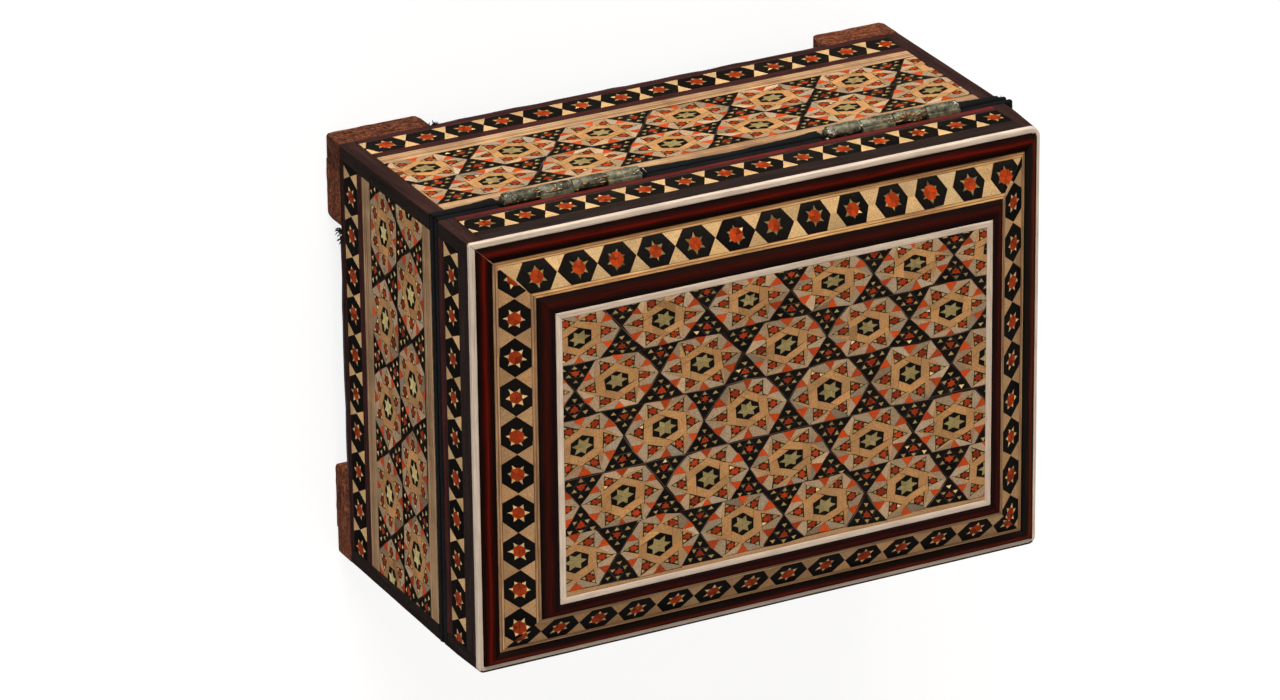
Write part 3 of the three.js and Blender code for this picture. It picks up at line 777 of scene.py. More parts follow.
def khatam_star(inlay, x, y, along, across):
    """One star: bone with orange and red points round a wheel of yellow wood and a brass star on black."""
    rng = inlay.random
    x, y, turn = x + rng.gauss(0, 0.12), y + rng.gauss(0, 0.1), rng.gauss(0, 1.2)
    at = Hexed(x, y, along, across, turn)
    inlay.lay(hexagon(at, 0, 0.995), "glue", 0.05)
    for way in range(0, 360, 60):
        for side in (way - 30, way + 30):
            stick = [at(way, 0.98), at(side, 0.85), at(side, 0.4), at(way, 0.4)]
            inlay.lay(grown(stick, -0.045), "bone", 0.03)
    for way in range(30, 390, 60):
        slip, wide, point = rng.gauss(0, 0.015), rng.uniform(*ORANGE_WIDTH), rng.uniform(*ORANGE_POINT)
        inlay.set_in([at(way, point, slip), at(way, RIM, slip - wide), at(way, RIM, slip + wide)],
                     "orange", line=0.05)
    wheel = Hexed(x, y, along, across, turn + rng.gauss(0, 1.2))
    inlay.lay(hexagon(wheel, 30, WHEEL + 0.012), "glue", 0.03)
    for k in range(6):
        inlay.lay(grown(wheel_stick(wheel, k, HUB, WHEEL), -0.02), "yellow", 0.03)
    for way in range(0, 360, 60):
        wide, point = rng.uniform(*YELLOW_WIDTH), rng.uniform(*YELLOW_POINT)
        stick = [at(way, 0.47, wide * 0.8), at(way + 30, 0.6), at(way, point, 0.05)]
        inlay.set_in(stick, "yellow", line=0.04)
    for way in range(0, 360, 60):
        slip, wide, point = rng.gauss(0, 0.015), rng.uniform(*RED_WIDTH), rng.uniform(*RED_POINT)
        red_unit(inlay, [at(way, RED_BASE, slip - wide), at(way, point, slip),
                         at(way, RED_BASE, slip + wide)])
    hub = Hexed(x, y, along, across, turn + rng.gauss(0, 2.5))
    inlay.lay(hexagon(hub, 30, HUB + 0.004), "black", 0.05)
    star = Hexed(x + rng.gauss(0, 0.07), y + rng.gauss(0, 0.07), along, across, turn + rng.gauss(0, 4))
    # A paler heart on the left and right sides is a painted glint.
    heart = "khaki" if inlay.brass == "brass" else "pale_khaki"
    for way in range(0, 360, 60):
        inlay.lay([(star.x, star.y), star(way - 30, HEART_WAIST), star(way, HEART_POINT),
                   star(way + 30, HEART_WAIST)], heart, 0.025)


def khatam_row(inlay, first, middle, pitch, height, start, end):
    """A strip of stars that touch point to point, with black triangles above and below each touch."""
    along, across = pitch / 2, height / 2 / APOTHEM
    stars = []
    while first > start - along:
        first -= pitch
    while first < end + pitch + along:
        stars.append(first + inlay.random.gauss(0, 0.12))
        first += pitch
    for left, right in zip(stars, stars[1:]):
        touch = (left + right) / 2
        for way in (-1, 1):
            base = middle + way * (height / 2 - 0.04)
            reach = 0.5 * along - 0.05
            black_triangle(inlay, [(touch, middle + way * 0.12), (left + reach, base), (right - reach, base)])
    for star in stars:
        khatam_star(inlay, star, middle, along - 0.04, across - 0.04)


# Radius of a band's red star, and the reach and half the width of its brass tips: least and most.
STAR_BODY, STAR_TIP, STAR_TIP_WIDTH = (1.75, 2.1), (2.6, 2.95), (0.48, 0.62)


def star_band(inlay, stars, bottom, top, tie, pinch=None):
    """Black hexagons on cream wood, each with a red star tipped with brass. tie is a bow-tie's width."""
    rng = inlay.random
    middle = (bottom + top) / 2
    for left, right in zip(stars, stars[1:]):
        for edge in (bottom, top):
            inlay.lay(grown([(left, middle), (right, middle), (right, edge), (left, edge)], -0.02),
                      inlay.ground, 0.0)
    for i, star in enumerate(stars):
        reaches = []
        for other in (stars[i - 1] if i else None, stars[i + 1] if i + 1 < len(stars) else None):
            gap = abs(other - star) if other is not None else abs(stars[1] - stars[0])
            waist = pinch(star) if pinch else 0.0
            reaches.append((gap / 2 - waist / 2, gap / 2 - tie / 2))
        (back, back_top), (ahead, ahead_top) = reaches
        outline = [(star - back, middle), (star - back_top, bottom), (star + ahead_top, bottom),
                   (star + ahead, middle), (star + ahead_top, top), (star - back_top, top)]
        inlay.set_in(outline, "black", 0.09, 0.04)
        turn = rng.gauss(0, 6)
        at = Hexed(star + rng.gauss(0, 0.15), middle + rng.gauss(0, 0.12), 1, 1, turn)
        body = rng.uniform(*STAR_BODY)
        base = body * APOTHEM - 0.1
        for k in range(6):
            way, point, wide = 30 + 60 * k, rng.uniform(*STAR_TIP), rng.uniform(*STAR_TIP_WIDTH)
            inlay.lay([at(way, base, -wide), at(way, point), at(way, base, wide)], "brass", 0.08)
        for k in range(6):
            inlay.lay([at(0, 0), at(60 * k, body), at(60 * k + 60, body)], "red", 0.05)


def spaced(first, pitch, start, end, shake, seed):
    """Places a pitch apart, through first, that cover start to end."""
    rng = random.Random(seed)
    low = math.ceil((start - first) / pitch - 0.8)
    high = math.floor((end - first) / pitch + 0.8)
    return [first + pitch * k + rng.gauss(0, shake) for k in range(low, high + 1)]


def rectangle(left, bottom, right, top):
    return [(left, bottom), (right, bottom), (right, top), (left, top)]


# First star along each side, and the pitch of the stars.
CASE_STARS = {"front": (3.0, 10.9), "back": (69.8, 11.0), "left": (-46.0, 10.85), "right": (2.0, 10.8)}
LID_STARS = {"front": (-1.0, 10.9), "back": (70.7, 11.05), "left": (-45.9, 10.95), "right": (4.0, 10.8)}
BEVEL_STARS = {"front": (-59.1, 10.78), "back": (63.9, 11.0), "left": (-38.0, 10.45), "right": (40.5, 10.82)}
BAND_TIE, BEVEL_TIE = 4.2, 5.7  # width of a bow-tie between two stars at the band's edges


def on_side(name, inlay, side_name, body, slot, node):
    """Cut an inlay as a slab on a side, between its posts."""
    side = SIDES[side_name]
    bottom, top = heights(node)
    reach = side.half - POST_WIDTH
    piece = Piece()
    slab(piece, inlay, rectangle(-reach, bottom, reach, top), side.at, VENEER)
    piece.build(name, "inlay", body, slot, [node], outward=False)


def side_brass(side_name):
    # The left and right sides get the paler brass: painted glints.
    return "brass_painted_glint" if side_name in ("left", "right") else "brass"


def band_on_side(body, side_name, stars, seed):
    """A straight star band on a side of the case or of the lid."""
    node = f"{body}_star_band_{side_name}"
    reach = SIDES[side_name].half - POST_WIDTH
    inlay = Inlay(seed, "cream", side_brass(side_name))
    star_band(inlay, spaced(*stars[side_name], -reach, reach, 0.12, seed), *heights(node), BAND_TIE)
    on_side(f"{body}_band_{side_name}", inlay, side_name, body, "star_band", node)


def panel_on_side(side_name, rows, seed):
    """The main panel of one side of the case: two rows of khatam stars."""
    node = f"case_inlay_panel_{side_name}"
    bottom, top = heights(node)
    reach = SIDES[side_name].half - POST_WIDTH
    inlay = Inlay(seed, "glue", side_brass(side_name), 0.7)
    height = (top - bottom) / len(rows)
    for i, (first, pitch) in enumerate(rows):
        khatam_row(inlay, first, bottom + height * (i + 0.5), pitch, height, -reach, reach)
    on_side(f"khatam_panel_{side_name}", inlay, side_name, "case", "khatam", node)


# The case's rows from the floor up: the first star of the row, and its pitch.
CASE_ROWS = {"back": ((68.0, 24.44), (56.7, 25.0)), "left": ((-42.9, 23.9), (-31.6, 23.9)),
             "front": ((2.0, 24.5), (14.1, 24.4)), "right": ((-5.0, 23.9), (6.9, 24.0))}
# The lid's rows from the back: middle of the row, its height, its first star, and its pitch.
LID_ROWS = ((5.7, 14.1, 4.7, 23.4), (19.9, 14.5, 14.9, 23.5), (35.3, 16.2, 4.6, 23.2),
            (51.3, 15.9, 15.9, 23.6), (66.25, 15.6, 2.6, 23.5))
LID_JOINT = 43.4                # where two sheets of the lid's panel meet, from its back edge


def centre_panel():
    """The lid's middle panel: five rows of khatam stars in two joined sheets."""
    low, high = box("centre_inlay_panel")
    reach, depth = (high[0] - low[0]) / 2, high[1] - low[1]
    inlay = Inlay(11, sway=0.9, black="jet")
    inlay.lay(rectangle(-reach - 2, low[1] - 1, reach + 2, low[1] + 1.6), "tan", 0.02)
    for middle, height, first, pitch in LID_ROWS:
        khatam_row(inlay, -reach + first, high[1] - middle, pitch, height, -reach, reach)
    joint = high[1] - LID_JOINT
    inlay.lay(rectangle(-reach - 2, joint - 0.09, reach + 2, joint + 0.09), "hairline", 0.02)

    def place(u, v, out):
        return Vector((u, v, high[2] + out))

    piece = Piece()
    slab(piece, inlay, rectangle(-reach, high[1] - depth, reach, high[1]), place, high[2] - low[2])
    piece.build("centre_panel_inlay", "inlay", "lid", "khatam", ["centre_inlay_panel"], outward=False)


# ---------------------------------------------------------------- the lid's bevel

BEVEL_OUT = inset("outer_pale_line")
BEVEL_IN = inset("inner_moulding")
BEVEL_TOP = heights("inner_pale_line")[1]
BAND_OUT = inset("bevel_star_band_right")
BAND_IN = inset("inner_pale_line")
BEVEL_RISE = (BEVEL_TOP - heights("outer_pale_line")[1]) / (BEVEL_IN - BAND_OUT)
BEVEL_ANGLE = math.atan(BEVEL_RISE)


def bevel_z(at_inset):
    return BEVEL_TOP - (BEVEL_IN - at_inset) * BEVEL_RISE


def on_bevel(side):
    """A place on the bevel of a side: along it, up the slope from the band's lower edge, and out of it."""
    cos, sin = math.cos(BEVEL_ANGLE), math.sin(BEVEL_ANGLE)

    def place(u, v, out):
        at_inset = BAND_OUT + v * cos - out * sin
        return side.at(u, bevel_z(BAND_OUT) + v * sin + out * cos, -at_inset)
    return place


def bevel_band(side_name, seed):
    """One mitred length of the bevel's star band."""
    side = SIDES[side_name]
    width = (BAND_IN - BAND_OUT) / math.cos(BEVEL_ANGLE)
    gap = 0.06
    low, high = side.half - BAND_OUT - gap, side.half - BAND_IN - gap
    first, pitch = BEVEL_STARS[side_name]
    stars = [star for star in spaced(first, pitch, -low, low, 0.18, seed) if star < low + 0.4]
    # Off the back, the bevel's tips are the paler brass: painted glints.
    pale, tips = ("straw", "dull_brass") if side_name == "back" else ("tan", "brass_painted_glint")
    inlay = Inlay(seed, pale, tips, black="jet")

    def pinch(star):
        return 1.7 if side_name == "back" and star < -2 else 0.15

    star_band(inlay, stars, 0.0, width, BEVEL_TIE, pinch)
    piece = Piece()
    outline = [(-low, 0), (low, 0), (high, width), (-high, width)]
    slab(piece, inlay, outline, on_bevel(side), 0.9, 0.08)
    node = f"bevel_star_band_{side_name}"
    piece.build(f"bevel_band_{side_name}", "inlay", "lid", "star_band", [node], outward=False)


# ---------------------------------------------------------------- strips, rings and posts

STATION = 2.5                   # distance between sections along a strip


def rounded(points, radius, steps=3, hard=()):
    """A section with its corners rounded, apart from the hard ones."""
    result = []
    for i, point in enumerate(points):
        if i in hard:
            result.append(point)
            continue
        here = Vector(point)
        way_in, way_out = Vector(points[i - 1]) - here, Vector(points[(i + 1) % len(points)]) - here
        start = here + way_in.normalized() * min(radius, way_in.length / 2)
        end = here + way_out.normalized() * min(radius, way_out.length / 2)
        for k in range(steps + 1):
            t = k / steps
            bend = start * (1 - t) ** 2 + here * (2 * t * (1 - t)) + end * t ** 2
            result.append((bend.x, bend.y))
    return result


def strip_section(start, end, bed, face, radius, steps=3):
    """The section of a strip that lies on its bed, with only its outer corners rounded."""
    return rounded([(start, bed), (start, face), (end, face), (end, bed)], radius, steps, (0, 3))


def places(start, end, count):
    """Places from start to end in equal steps."""
    return [start + (end - start) * k / count for k in range(count + 1)]


def board(piece, side, start, end, bottom, top, seed, proud=0.0, edge=0.2, wave=0.07, tint=WHITE):
    """A strip of veneer on a side, its long edges rubbed soft and not quite straight."""
    stations = []
    for along in places(start, end, max(2, round((end - start) / STATION))):
        low = bottom + wave * waver(along, seed)
        high = top + wave * waver(along, seed + 3)
        face = proud + 0.03 * waver(along, seed + 6)
        section = strip_section(low, high, -VENEER, face, edge)
        stations.append((along, [side.at(along, z, out) for z, out in section]))
    piece.sweep(stations, seed, tint)


def shaded(rng, spread=0.12, warm=0.04):
    """The tint of one length of wood."""
    shade, heat = 1 + rng.gauss(0, spread), 1 + rng.gauss(0, warm)
    return (shade * heat, shade, shade / heat, 0.0)


def cast_over(tint, cast):
    return (*(tint[i] * cast[i] for i in range(3)), 0.0)


# What the tint of a thin layer is multiplied by.
RED_LAYER, DIM_LAYER = (2.5, 0.85, 0.75, 0.0), (1.5, 0.95, 0.95, 0.0)
BROWN_LAYER, GLUE_LAYER = (0.55, 0.36, 0.24, 0.0), (0.2, 0.13, 0.09, 0.0)
GOLDEN_LAYER = (1.06, 0.98, 0.72, 0.0)


def strip_course(name, node, body, wood, seed, proud=0.0, red=0.0, drop=0.0):
    """Four lengths of one course, one on each side between the posts. red is a red layer's thickness."""
    bottom, top = heights(node)
    bottom -= drop
    piece, rng = Piece(), random.Random(seed)
    for i, (key, side) in enumerate(SIDES.items()):
        reach, grain = side.half - POST_WIDTH, seed + i * 0.37
        board(piece, side, -reach, reach, bottom + red, top, grain, proud, tint=shaded(rng))
        if red:
            board(piece, side, -reach, reach, bottom, bottom + red - 0.03, grain + 0.2, proud + 0.05,
                  tint=RED_LAYER if key == "back" else DIM_LAYER)
    piece.build(name, wood, body, wood, [node])


def layered_course(name, node, seed):
    """A course of pale wood: each length is glued up from thin layers of lighter and darker wood."""
    bottom, top = heights(node)
    piece, rng = Piece(), random.Random(seed)
    levels = [bottom + (top - bottom) * share for share in (0.0, 0.26, 0.5, 0.72, 1.0)]
    for i, side in enumerate(SIDES.values()):
        # The short sides are a little darker: painted shade.
        reach, painted_side_shade = side.half - POST_WIDTH, 1.0 if side.half == HALF_X else 0.95
        for k, (low, high) in enumerate(zip(levels, levels[1:])):
            tint = tuple(value * painted_side_shade for value in shaded(rng, 0.13, 0.03))
            board(piece, side, -reach, reach, low, high, seed + i * 0.37 + k * 0.11,
                  rng.uniform(-0.02, 0.02), 0.08, 0.04, tint)
    piece.build(name, "pale_wood", "case", "pale_wood", [node])


def shares(half):
    """Places of the sections along a length, as shares of half of it; closer together near its ends."""
    near = [1 - reach / half for reach in (0.0, 0.35, 0.7, 1.1, 1.5, 2.0, 2.6)]
    count = max(4, round(half * 2 / STATION))
    limit = 1 - 3.4 / half
    middle = [limit * (2 * k / count - 1) for k in range(count + 1)]
    return [-share for share in near] + middle + near[::-1]


def split(section, step=0.45):
    """A section with points along its long edges too."""
    result = []
    for a, b in zip(section, section[1:] + section[:1]):
        count = max(1, math.ceil(math.dist(a, b) / step))
        result.extend((a[0] + (b[0] - a[0]) * k / count, a[1] + (b[1] - a[1]) * k / count)
                      for k in range(count))
    return result


def ring(piece, section, seed, gap=0.03, tints=None, wave=0.03, sides=tuple(SIDES)):
    """Four mitred lengths round the lid. section is a list of (inset, height), or one for each side."""
    for i, (name, side) in enumerate(SIDES.items()):
        if name not in sides:
            continue
        shape = section[name] if isinstance(section, dict) else section
        stations = []
        for share in shares(side.half):
            points = []
            for at_inset, z in shape:
                along = share * (side.half - at_inset - gap)
                lift = wave * waver(along, seed + i)
                points.append(side.at(along, z + lift, -at_inset + wave * waver(along, seed + i + 4)))
            stations.append((share * side.half, points))
        piece.sweep(stations, seed + i * 0.37, tints[name] if tints else WHITE)


def arched(start, end, low, high, bulge, steps=14):
    """A moulding's upper side, from its outer top edge to its inner one."""
    points = []
    for t in places(0, 1, steps):
        across = (1 - math.cos(math.pi * t)) / 2
        level = low + (high - low) * across + bulge * math.sin(math.pi * t)
        points.append((start + (end - start) * across, level))
    return points


# How much narrower the bone edging is where the lid has been rubbed most.
WORN_AWAY = {"right": 0.55}
LIP = 0.42                      # width of the dark edge beside the bone at the front
OUTER_BULGE = 1.2               # how far the outer moulding swells


def bone_ring(name, node, section, seed, gap, tint_seed):
    piece, rng = Piece(), random.Random(tint_seed)
    ring(piece, section, seed, gap, {side: shaded(rng, 0.04, 0.01) for side in SIDES}, 0.04)
    piece.build(name, "bone", "lid", "bone", [node])


def bone_edging():
    """The bone round the lid's edge; along the front, an edge of the dark strip below stands beside it."""
    node = "bone_edging"
    bottom, top = heights(node)
    section = {}
    for name in SIDES:
        start = LIP if name == "front" else 0.0
        end = inset("outer_moulding") - 0.05 - WORN_AWAY.get(name, 0.0)
        section[name] = strip_section(start, end, bottom, top, 0.38, 4)
    bone_ring("bone_edge_strips", node, section, 31, 0.08, 5)
    piece = Piece()
    section = strip_section(0.02, LIP - 0.03, bottom + 0.02, top - 0.1, 0.1, 2)
    ring(piece, section, 33, 0.08, sides=("front",))
    piece.build("front_edge_lip", "ebony", "lid", "ebony")


def centre_bone_line():
    node = "centre_bone_line"
    bottom, top = heights(node)
    start, end = inset(node), HALF_X - box("centre_inlay_panel")[1][0]
    section = strip_section(start, end, bottom, top + 0.05, 0.25)
    bone_ring("centre_bone_strips", node, section, 37, 0.04, 6)


def moulding(name, node, start, end, low, high, bulge, seed, painted_side_light):
    bed = heights(node)[0]
    section, tints, rng = {}, {}, random.Random(seed)
    for side in SIDES:
        edge = start - (WORN_AWAY.get(side, 0.0) if node == "outer_moulding" else 0.0)
        section[side] = [(edge, bed), *arched(edge, end, low, high, bulge), (end, bed)]
        # Each side's cast lightens or darkens its length: painted light and shade by how that side faces the
        # lamp.
        tints[side] = cast_over(shaded(rng, 0.12, 0.03), painted_side_light.get(side, WHITE))
    piece = Piece()
    ring(piece, section, seed, 0.05, tints, 0.03)
    piece.build(name, node, "lid", "red_moulding", [node], sharp=60)


def bevel_line(name, node, start, end, seed):
    """A pale line on the bevel: thin layers of light wood with a brown one between, glued with dark glue."""
    piece, rng = Piece(), random.Random(seed)
    edges = [start + (end - start) * share for share in (0.0, 0.07, 0.46, 0.62, 0.95, 1.0)]
    layers = (GLUE_LAYER, WHITE, BROWN_LAYER, WHITE, GLUE_LAYER)
    for k, (low, high, cast) in enumerate(zip(edges, edges[1:], layers)):
        corners = [(low, bevel_z(low) - 0.9), (low, bevel_z(low) + 0.03),
                   (high, bevel_z(high) + 0.03), (high, bevel_z(high) - 0.9)]
        tints = {}
        for side in SIDES:
            golden = cast is WHITE and side == "back"
            tints[side] = cast_over(shaded(rng, 0.1, 0.03), GOLDEN_LAYER if golden else cast)
        ring(piece, rounded(corners, 0.05, 2, (0, 3)), seed + k * 0.5, 0.03, tints, 0.03)
    piece.build(name, "pale_wood", "lid", "pale_wood", [node])


CORNERS = {"front_left": (-1, -1), "front_right": (1, -1), "back_left": (-1, 1), "back_right": (1, 1)}
# A post is reddish on the long sides and nearly black on the short ones.
LONG_SHADE, SHORT_SHADE = (1.35, 0.95, 0.9, 0.0), (0.85, 0.92, 0.9, 0.0)
POST_THICK = 0.62


def post(name, node, body, sx, sy, seed):
    """The thin strips over one vertical corner: one on each face, the long side's over the short side's."""
    bottom, top = heights(node)
    piece = Piece()
    back_x, back_y = HALF_X - POST_THICK, HALF_Y - POST_THICK
    for shade, along_x in ((LONG_SHADE, True), (SHORT_SHADE, False)):
        stations = []
        for z in places(bottom, top, max(4, round((top - bottom) / STATION))):
            wide = POST_WIDTH + 0.12 * waver(z, seed + along_x)
            lift = 0.03 * waver(z, seed + along_x + 9)
            if along_x:
                section = strip_section(HALF_X - wide, HALF_X + lift, back_y, HALF_Y + lift, 0.35)
            else:
                shape = [(back_x, back_y - 0.02), (HALF_X + lift, back_y - 0.02),
                         (HALF_X + lift, HALF_Y - wide), (back_x, HALF_Y - wide)]
                section = rounded(shape, 0.35, hard=(0, 1, 3))
            stations.append((z, [MIDDLE + Vector((sx * x, sy * y, z)) for x, y in split(section)]))
        piece.sweep(stations, seed + along_x * 0.5, shade)
    piece.build(name, "ebony", body, "ebony", [node])


# ---------------------------------------------------------------- feet

FOOT_THICK = 7.5                # depth of each arm of a foot
FOOT_ROUGH = 0.12
BACK_SHADE = {-1: 0.62, 1: 0.9}     # shade of a back foot's long arm, by the sign of x


def foot(name, sx, sy, seed):
    """A bracket foot of two arms, worn round where it has been pushed about."""
    low, high = box(name)
    height = high[2] - low[2]
    piece, rng = Piece(), random.Random(seed)

    def worn_up(distance, radius):
        """How far a sole lies up at this distance from an end that is worn to a radius."""
        return radius - math.sqrt(max(0.0, radius ** 2 - max(0.0, radius - distance) ** 2))

    for key, start, length in (("x", 0.0, high[0] - low[0]), ("y", FOOT_THICK - 0.6, high[1] - low[1])):
        stations = []
        for along in places(start, length, round(length / 0.8)):
            left = length - along
            lift = worn_up(left, 1.9) if left < 1.9 else 0.0
            if key == "x" and along < 1.1:
                lift = max(lift, worn_up(along, 1.1))
            bottom = lift + FOOT_ROUGH * waver(along, seed + 1, 2.2) + 0.1
            outer = FOOT_ROUGH * waver(along, seed + 2, 2.6) + 0.05
            inner = FOOT_THICK + 0.2 * waver(along, seed + 3, 4.0)
            if left < 1.0:
                outer += 0.25 * (1 - left) ** 2
            bottom = min(bottom, height - 1.5)
            points = []
            for depth, z in strip_section(outer, inner, height, bottom, 0.75, 4):
                x, y = (along, depth) if key == "x" else (depth, along)
                points.append(MIDDLE + Vector((sx * (HALF_X - x), sy * (HALF_Y - y), z)))
            stations.append((along, points))
        shade = (1 + rng.gauss(0, 0.06)) * (BACK_SHADE[sx] if key == "x" and sy > 0 else 1.0)
        piece.sweep(stations, seed + len(piece.points) * 0.01, (shade, shade * 0.92, shade * 0.95, 0.0))
    piece.build(f"{name}_wood", "foot_wood", "case", "foot_wood", [name], sharp=50)


# ---------------------------------------------------------------- velvet

RIM_FIBRES, END_FIBRES, FELT_FIBRES = 4200, 240, 1500


def pile(piece, rng, count, spots, length, width, spread=0.5):
    """Fibres of pile: spots gives a (root, way) for two random numbers."""
    for _ in range(count):
        root, way = spots(rng.random(), rng.random())
        lean = Vector((rng.gauss(0, spread), rng.gauss(0, spread), rng.gauss(0, spread)))
        way = (way + lean).normalized()
        piece.fibre(root, way, length * rng.uniform(0.5, 1.3), width, rng.uniform(-0.4, 0.4),
                    rng.uniform(0, 6.3))


def around(share, at_inset):
    """A point on the rectangle at this inset, and the way out of it, by the share of its length."""
    x, y = HALF_X - at_inset, HALF_Y - at_inset
    run = share * 4 * (x + y)
    if run < 2 * x:
        return MIDDLE + Vector((run - x, -y, 0)), Vector((0, -1, 0))
    run -= 2 * x
    if run < 2 * y:
        return MIDDLE + Vector((x, run - y, 0)), Vector((1, 0, 0))
    run -= 2 * y
    if run < 2 * x:
        return MIDDLE + Vector((x - run, y, 0)), Vector((0, 1, 0))
    run -= 2 * x
    return MIDDLE + Vector((-x, y - run, 0)), Vector((-1, 0, 0))


RIM_IN = 7.3                    # inner edge of the velvet on a rim
RIM_REACH = 0.9975              # share of half a side that the velvet covers
HINGE_SPANS = [(box(f"hinge_{key}_pin")[0][0], box(f"hinge_{key}_pin")[1][0]) for key in ("left", "right")]


def beside_hinge(x):
    """How far x lies outside the hinges, in millimetres; negative on a hinge."""
    return min(max(low - x, x - high) for low, high in HINGE_SPANS)


def rim_velvet(name, node, body, seed):
    """Velvet folded over a rim: it fills the seam out to the faces, and swells beside the hinges."""
    bottom, top = heights(node)
    middle = (bottom + top) / 2
    piece, rng = Piece(), random.Random(seed)

    def outset(side_name, along):
        """How far the velvet lies in from the face, and how far it swells over the case."""
        if side_name != "back":
            return 0.05, 0.0
        away = beside_hinge(-along)
        if body == "lid":
            return 0.05 + 1.95 * min(1.0, max(0.0, 1.6 - away) / 0.8), 0.0
        back = 0.05 + 0.95 * min(1.0, max(0.0, 0.4 - away) / 0.8)
        swell = 1.9 * math.exp(-max(away, 0.0) / 9) * min(1.0, max(0.0, away + 0.6) / 1.6)
        return back - min(0.25, swell), swell

    for i, (side_name, side) in enumerate(SIDES.items()):
        stations = []
        for share in places(-RIM_REACH, RIM_REACH, 180):
            here, swell = outset(side_name, share * side.half)
            low = bottom - swell * (1 + 0.15 * waver(share * side.half, seed, 2.5))
            shape = [(RIM_IN, bottom), (1.1, bottom), (here, low), (here - 0.12, (low + top) / 2),
                     (here, top), (RIM_IN, top)]
            points = []
            for depth, z in rounded(shape, 0.5, hard=(0, 1, 5)):
                along = share * (side.half - depth)
                soft = 0.12 * waver(along, seed + i + z, 1.6) if depth < 1 else 0.0
                points.append(side.at(along, z + soft, -depth + soft))
            stations.append((share * side.half, points))
        piece.sweep(stations, seed + i * 0.37)

    def outer(share, level):
        point, way = around(share, 0.3)
        if way.y > 0.5:
            here, _ = outset("back", -(point.x - MIDDLE.x))
            point = point - way * max(0.0, here - 0.05)
        return point + Vector((0, 0, bottom + 0.2 + (top - bottom - 0.4) * level)), way

    pile(piece, rng, RIM_FIBRES, outer, 0.5, 0.09)
    side = SIDES["back"]

    def loose(u, v):
        root = side.at(-(side.half - 1.0 + u * 2.0), middle + (v - 0.5) * 1.2, rng.uniform(-2.6, -0.1))
        return root, Vector((1, 0.1, 0))

    # The end of the cloth hangs out at the right.
    past, rise = (1.7, 0.048) if body == "case" else (2.3, -0.024)
    tongue = []
    for k, along in enumerate(places(side.half - 6, side.half + past, 6)):
        thin, level = 0.9 - 0.2 * k / 6, middle + rise * k
        shape = rounded([(-thin, -2.9), (-thin, 0.1), (thin, 0.1), (thin, -2.9)], 0.3, 2)
        tongue.append((along, [side.at(-along, level + z, out) for z, out in shape]))
    piece.sweep(tongue, seed)
    pile(piece, rng, END_FIBRES, loose, 1.3, 0.12, 0.35)
    piece.build(name, "black_velvet", body, "black_velvet", [node], sharp=60)


TRAY_SIDES = 176


def tray(name, node, body, up, seed):
    """A velvet lining: walls and floor in one, with soft folds in the corners and a rolled edge."""
    low, high = box(node)
    half_x, half_y = (high[0] - low[0]) / 2, (high[1] - low[1]) / 2
    bottom, top = (low[2], high[2]) if up > 0 else (high[2], low[2])
    skin, soft = 1.0, 3.0
    wall = abs(top - bottom) - skin - soft
    # Each level: its inset, its height, and how much of the wall it is.
    levels = [(soft + skin + (half_y - soft - skin - 1.0) * (1 - k / 17), bottom + up * skin, 0.0)
              for k in range(18)]
    for k in range(1, 6):
        angle = math.pi / 2 * k / 5
        rise = skin + soft * (1 - math.cos(angle))
        levels.append((skin + soft * (1 - math.sin(angle)), bottom + up * rise, k / 5))
    count = max(2, round(wall / 2.5))
    levels += [(skin, bottom + up * (skin + soft + (wall - 0.3) * k / count), 1.0)
               for k in range(1, count + 1)]
    levels += [(skin * 0.5, top, 1.0), (0.05, top - up * 0.4, 0.0), (0.0, bottom + up * 0.5, 0.0)]
    loops = []
    for depth, z, upright in levels:
        x, y = half_x - depth, half_y - depth
        radius = min(2.5 + depth * 0.2, y * 0.9)
        loop = []
        for k in range(TRAY_SIDES):
            point, bulge = rounded_loop(k / TRAY_SIDES, x, y, radius)
            fold = abs(0.22 * noise.noise(Vector((point.x / 14, point.y / 14, z / 14 + seed)))
                       + 0.1 * noise.noise(Vector((point.x / 3, point.y / 3, z / 3 + seed))))
            inward = bulge * (-fold * upright)
            rise = up * fold * (1 - upright) if depth > 0 else 0.0
            loop.append(MIDDLE + Vector((point.x + inward.x, point.y + inward.y, z + rise)))
        loops.append(loop)
    piece = Piece()
    piece.lattice(loops)
    piece.plain(tuple(range(TRAY_SIDES)))
    piece.plain(tuple(range(len(piece.points) - TRAY_SIDES, len(piece.points))))
    piece.build(name, "lining_velvet_painted_light", body, "black_velvet", [node], sharp=70)


def rounded_loop(share, x, y, radius):
    """A point on a rectangle with round corners, and the way out of it."""
    straight_x, straight_y = 2 * (x - radius), 2 * (y - radius)
    arc = math.pi / 2 * radius
    run = share * (2 * straight_x + 2 * straight_y + 4 * arc)
    turns = ((Vector((-x + radius, -y)), Vector((1, 0)), straight_x),
             (Vector((x, -y + radius)), Vector((0, 1)), straight_y),
             (Vector((x - radius, y)), Vector((-1, 0)), straight_x),
             (Vector((-x, y - radius)), Vector((0, -1)), straight_y))
    for start, way, length in turns:
        out = Vector((way.y, -way.x))
        if run <= length:
            return start + way * run, out
        run -= length
        if run <= arc:
            angle = run / radius
            centre = start + way * length - out * radius
            lean = out * math.cos(angle) + way * math.sin(angle)
            return centre + lean * radius, lean
        run -= arc
    return turns[0][0], Vector((0, -1))


